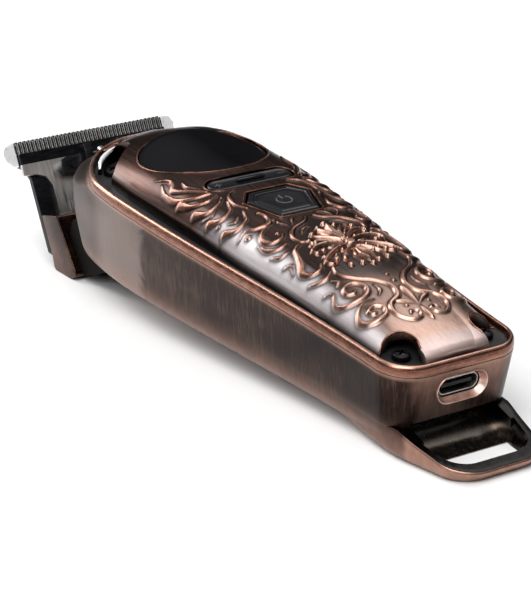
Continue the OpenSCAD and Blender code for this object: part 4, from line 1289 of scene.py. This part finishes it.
def up_cut(up):
    """A plane across the blade at the height up."""
    return (0, *on_blade(up, 0)), (0, COS_B, SIN_B)


side_cuts = [((x, 0, 0), (1, 0, 0)) for x in (-END_X, END_X)]
# The fixed blade's ends in the glint steel: bare steel edges painted near-white, a painted highlight
fixed = dress(soften("fixed_blade", 0.1, 2, cuts=side_cuts + [up_cut(END_UP), up_cut(FIXED_TEETH)]),
              m_dark_steel, m_glint_steel, m_tooth)
blade_faces(fixed, lambda x, up: np.where((abs(x) > END_X) & (up > END_UP), 1,
                                          np.where(up > FIXED_TEETH, 2, 0)))
settle(fixed, "body", "black_steel", "fixed_blade", flat=5)
# The band below the teeth in black steel: a painted dark reflection where a hollow grind would be
moving = dress(soften("moving_blade", 0.09, 2, cuts=[up_cut(BAND_UP), up_cut(MOVING_TEETH)]),
               m_plate, m_dark_steel, m_tooth)
blade_faces(moving, lambda x, up: np.where(up > MOVING_TEETH, 2, np.where(up > BAND_UP, 1, 0)))
settle(moving, "cutter", "steel", "moving_blade", flat=5)
settle(dress(soften("drive_block", 0.45, 4), m_tab), "cutter", "black_steel", "drive_block")
settle(dress(soften("blade_screws", 0.12, 2), m_steel), "body", "steel", "blade_screws")
settle(dress(soften("blade_guide", 0.2, 2), m_black), "body", "black_plastic", "blade_guide")

# ---- Floor and light ----
floor_shader = Shader("floor_white", Roughness=0.75)
floor_tone = floor_shader.noise((0.004, 0.004, 0.004), 2, 0.4)
floor_skin = floor_shader.finish(floor_shader.ramp(floor_tone, (0.3, 0.80), (0.7, 0.84)))
floor_mesh = bpy.data.meshes.new("floor")
REACH = 6.0
floor_mesh.from_pydata([(x * REACH, y * REACH, 0) for x, y in ((-1, -1), (1, -1), (1, 1), (-1, 1))], [],
                       [[0, 1, 2, 3]])
floor_mesh.materials.append(floor_skin)
floor = bpy.data.objects.new("floor", floor_mesh)
scene.collection.objects.link(floor)


def area_light(name, direction, distance, size, power):
    """A soft light that faces the clipper from the given direction."""
    data = bpy.data.lights.new(name, "AREA")
    data.shape = "RECTANGLE"
    data.size, data.size_y = size
    data.energy = power
    light = bpy.data.objects.new(name, data)
    d = Vector(direction).normalized()
    light.location = d * distance
    light.rotation_euler = d.to_track_quat("Z", "Y").to_euler()
    scene.collection.objects.link(light)


area_light("key_softbox", (0.44, 0.26, 0.86), 1.1, (0.6, 0.6), 2.6)
area_light("overhead", (-0.45, -0.5, 1.0), 1.1, (0.8, 0.8), 10.5)
area_light("front_low", (-0.46, 0.86, 0.17), 1.0, (0.5, 0.24), 0.9)
area_light("front_strip", (-0.36, 0.80, 0.48), 1.0, (0.32, 0.7), 5.5)
area_light("left_fill", (-1.0, -0.45, 0.6), 1.2, (0.5, 0.5), 3)

world = bpy.data.worlds.new("world")
scene.world = world
world.use_nodes = True
sky = world.node_tree
split = sky.nodes.new("ShaderNodeSeparateXYZ")
sky.links.new(sky.nodes.new("ShaderNodeTexCoord").outputs["Generated"], split.inputs[0])
height = sky.nodes.new("ShaderNodeValToRGB")
sky.links.new(split.outputs[2], height.inputs[0])
height.color_ramp.elements.new(0.55)
for stop, (at, tone) in zip(height.color_ramp.elements, ((0.0, 0.02), (0.42, 0.03), (1.0, 0.8))):
    stop.position = at
    stop.color = (tone, tone, tone, 1)
sky.links.new(height.outputs[0], sky.nodes["Background"].inputs[0])
scene.view_settings.view_transform = "Standard"
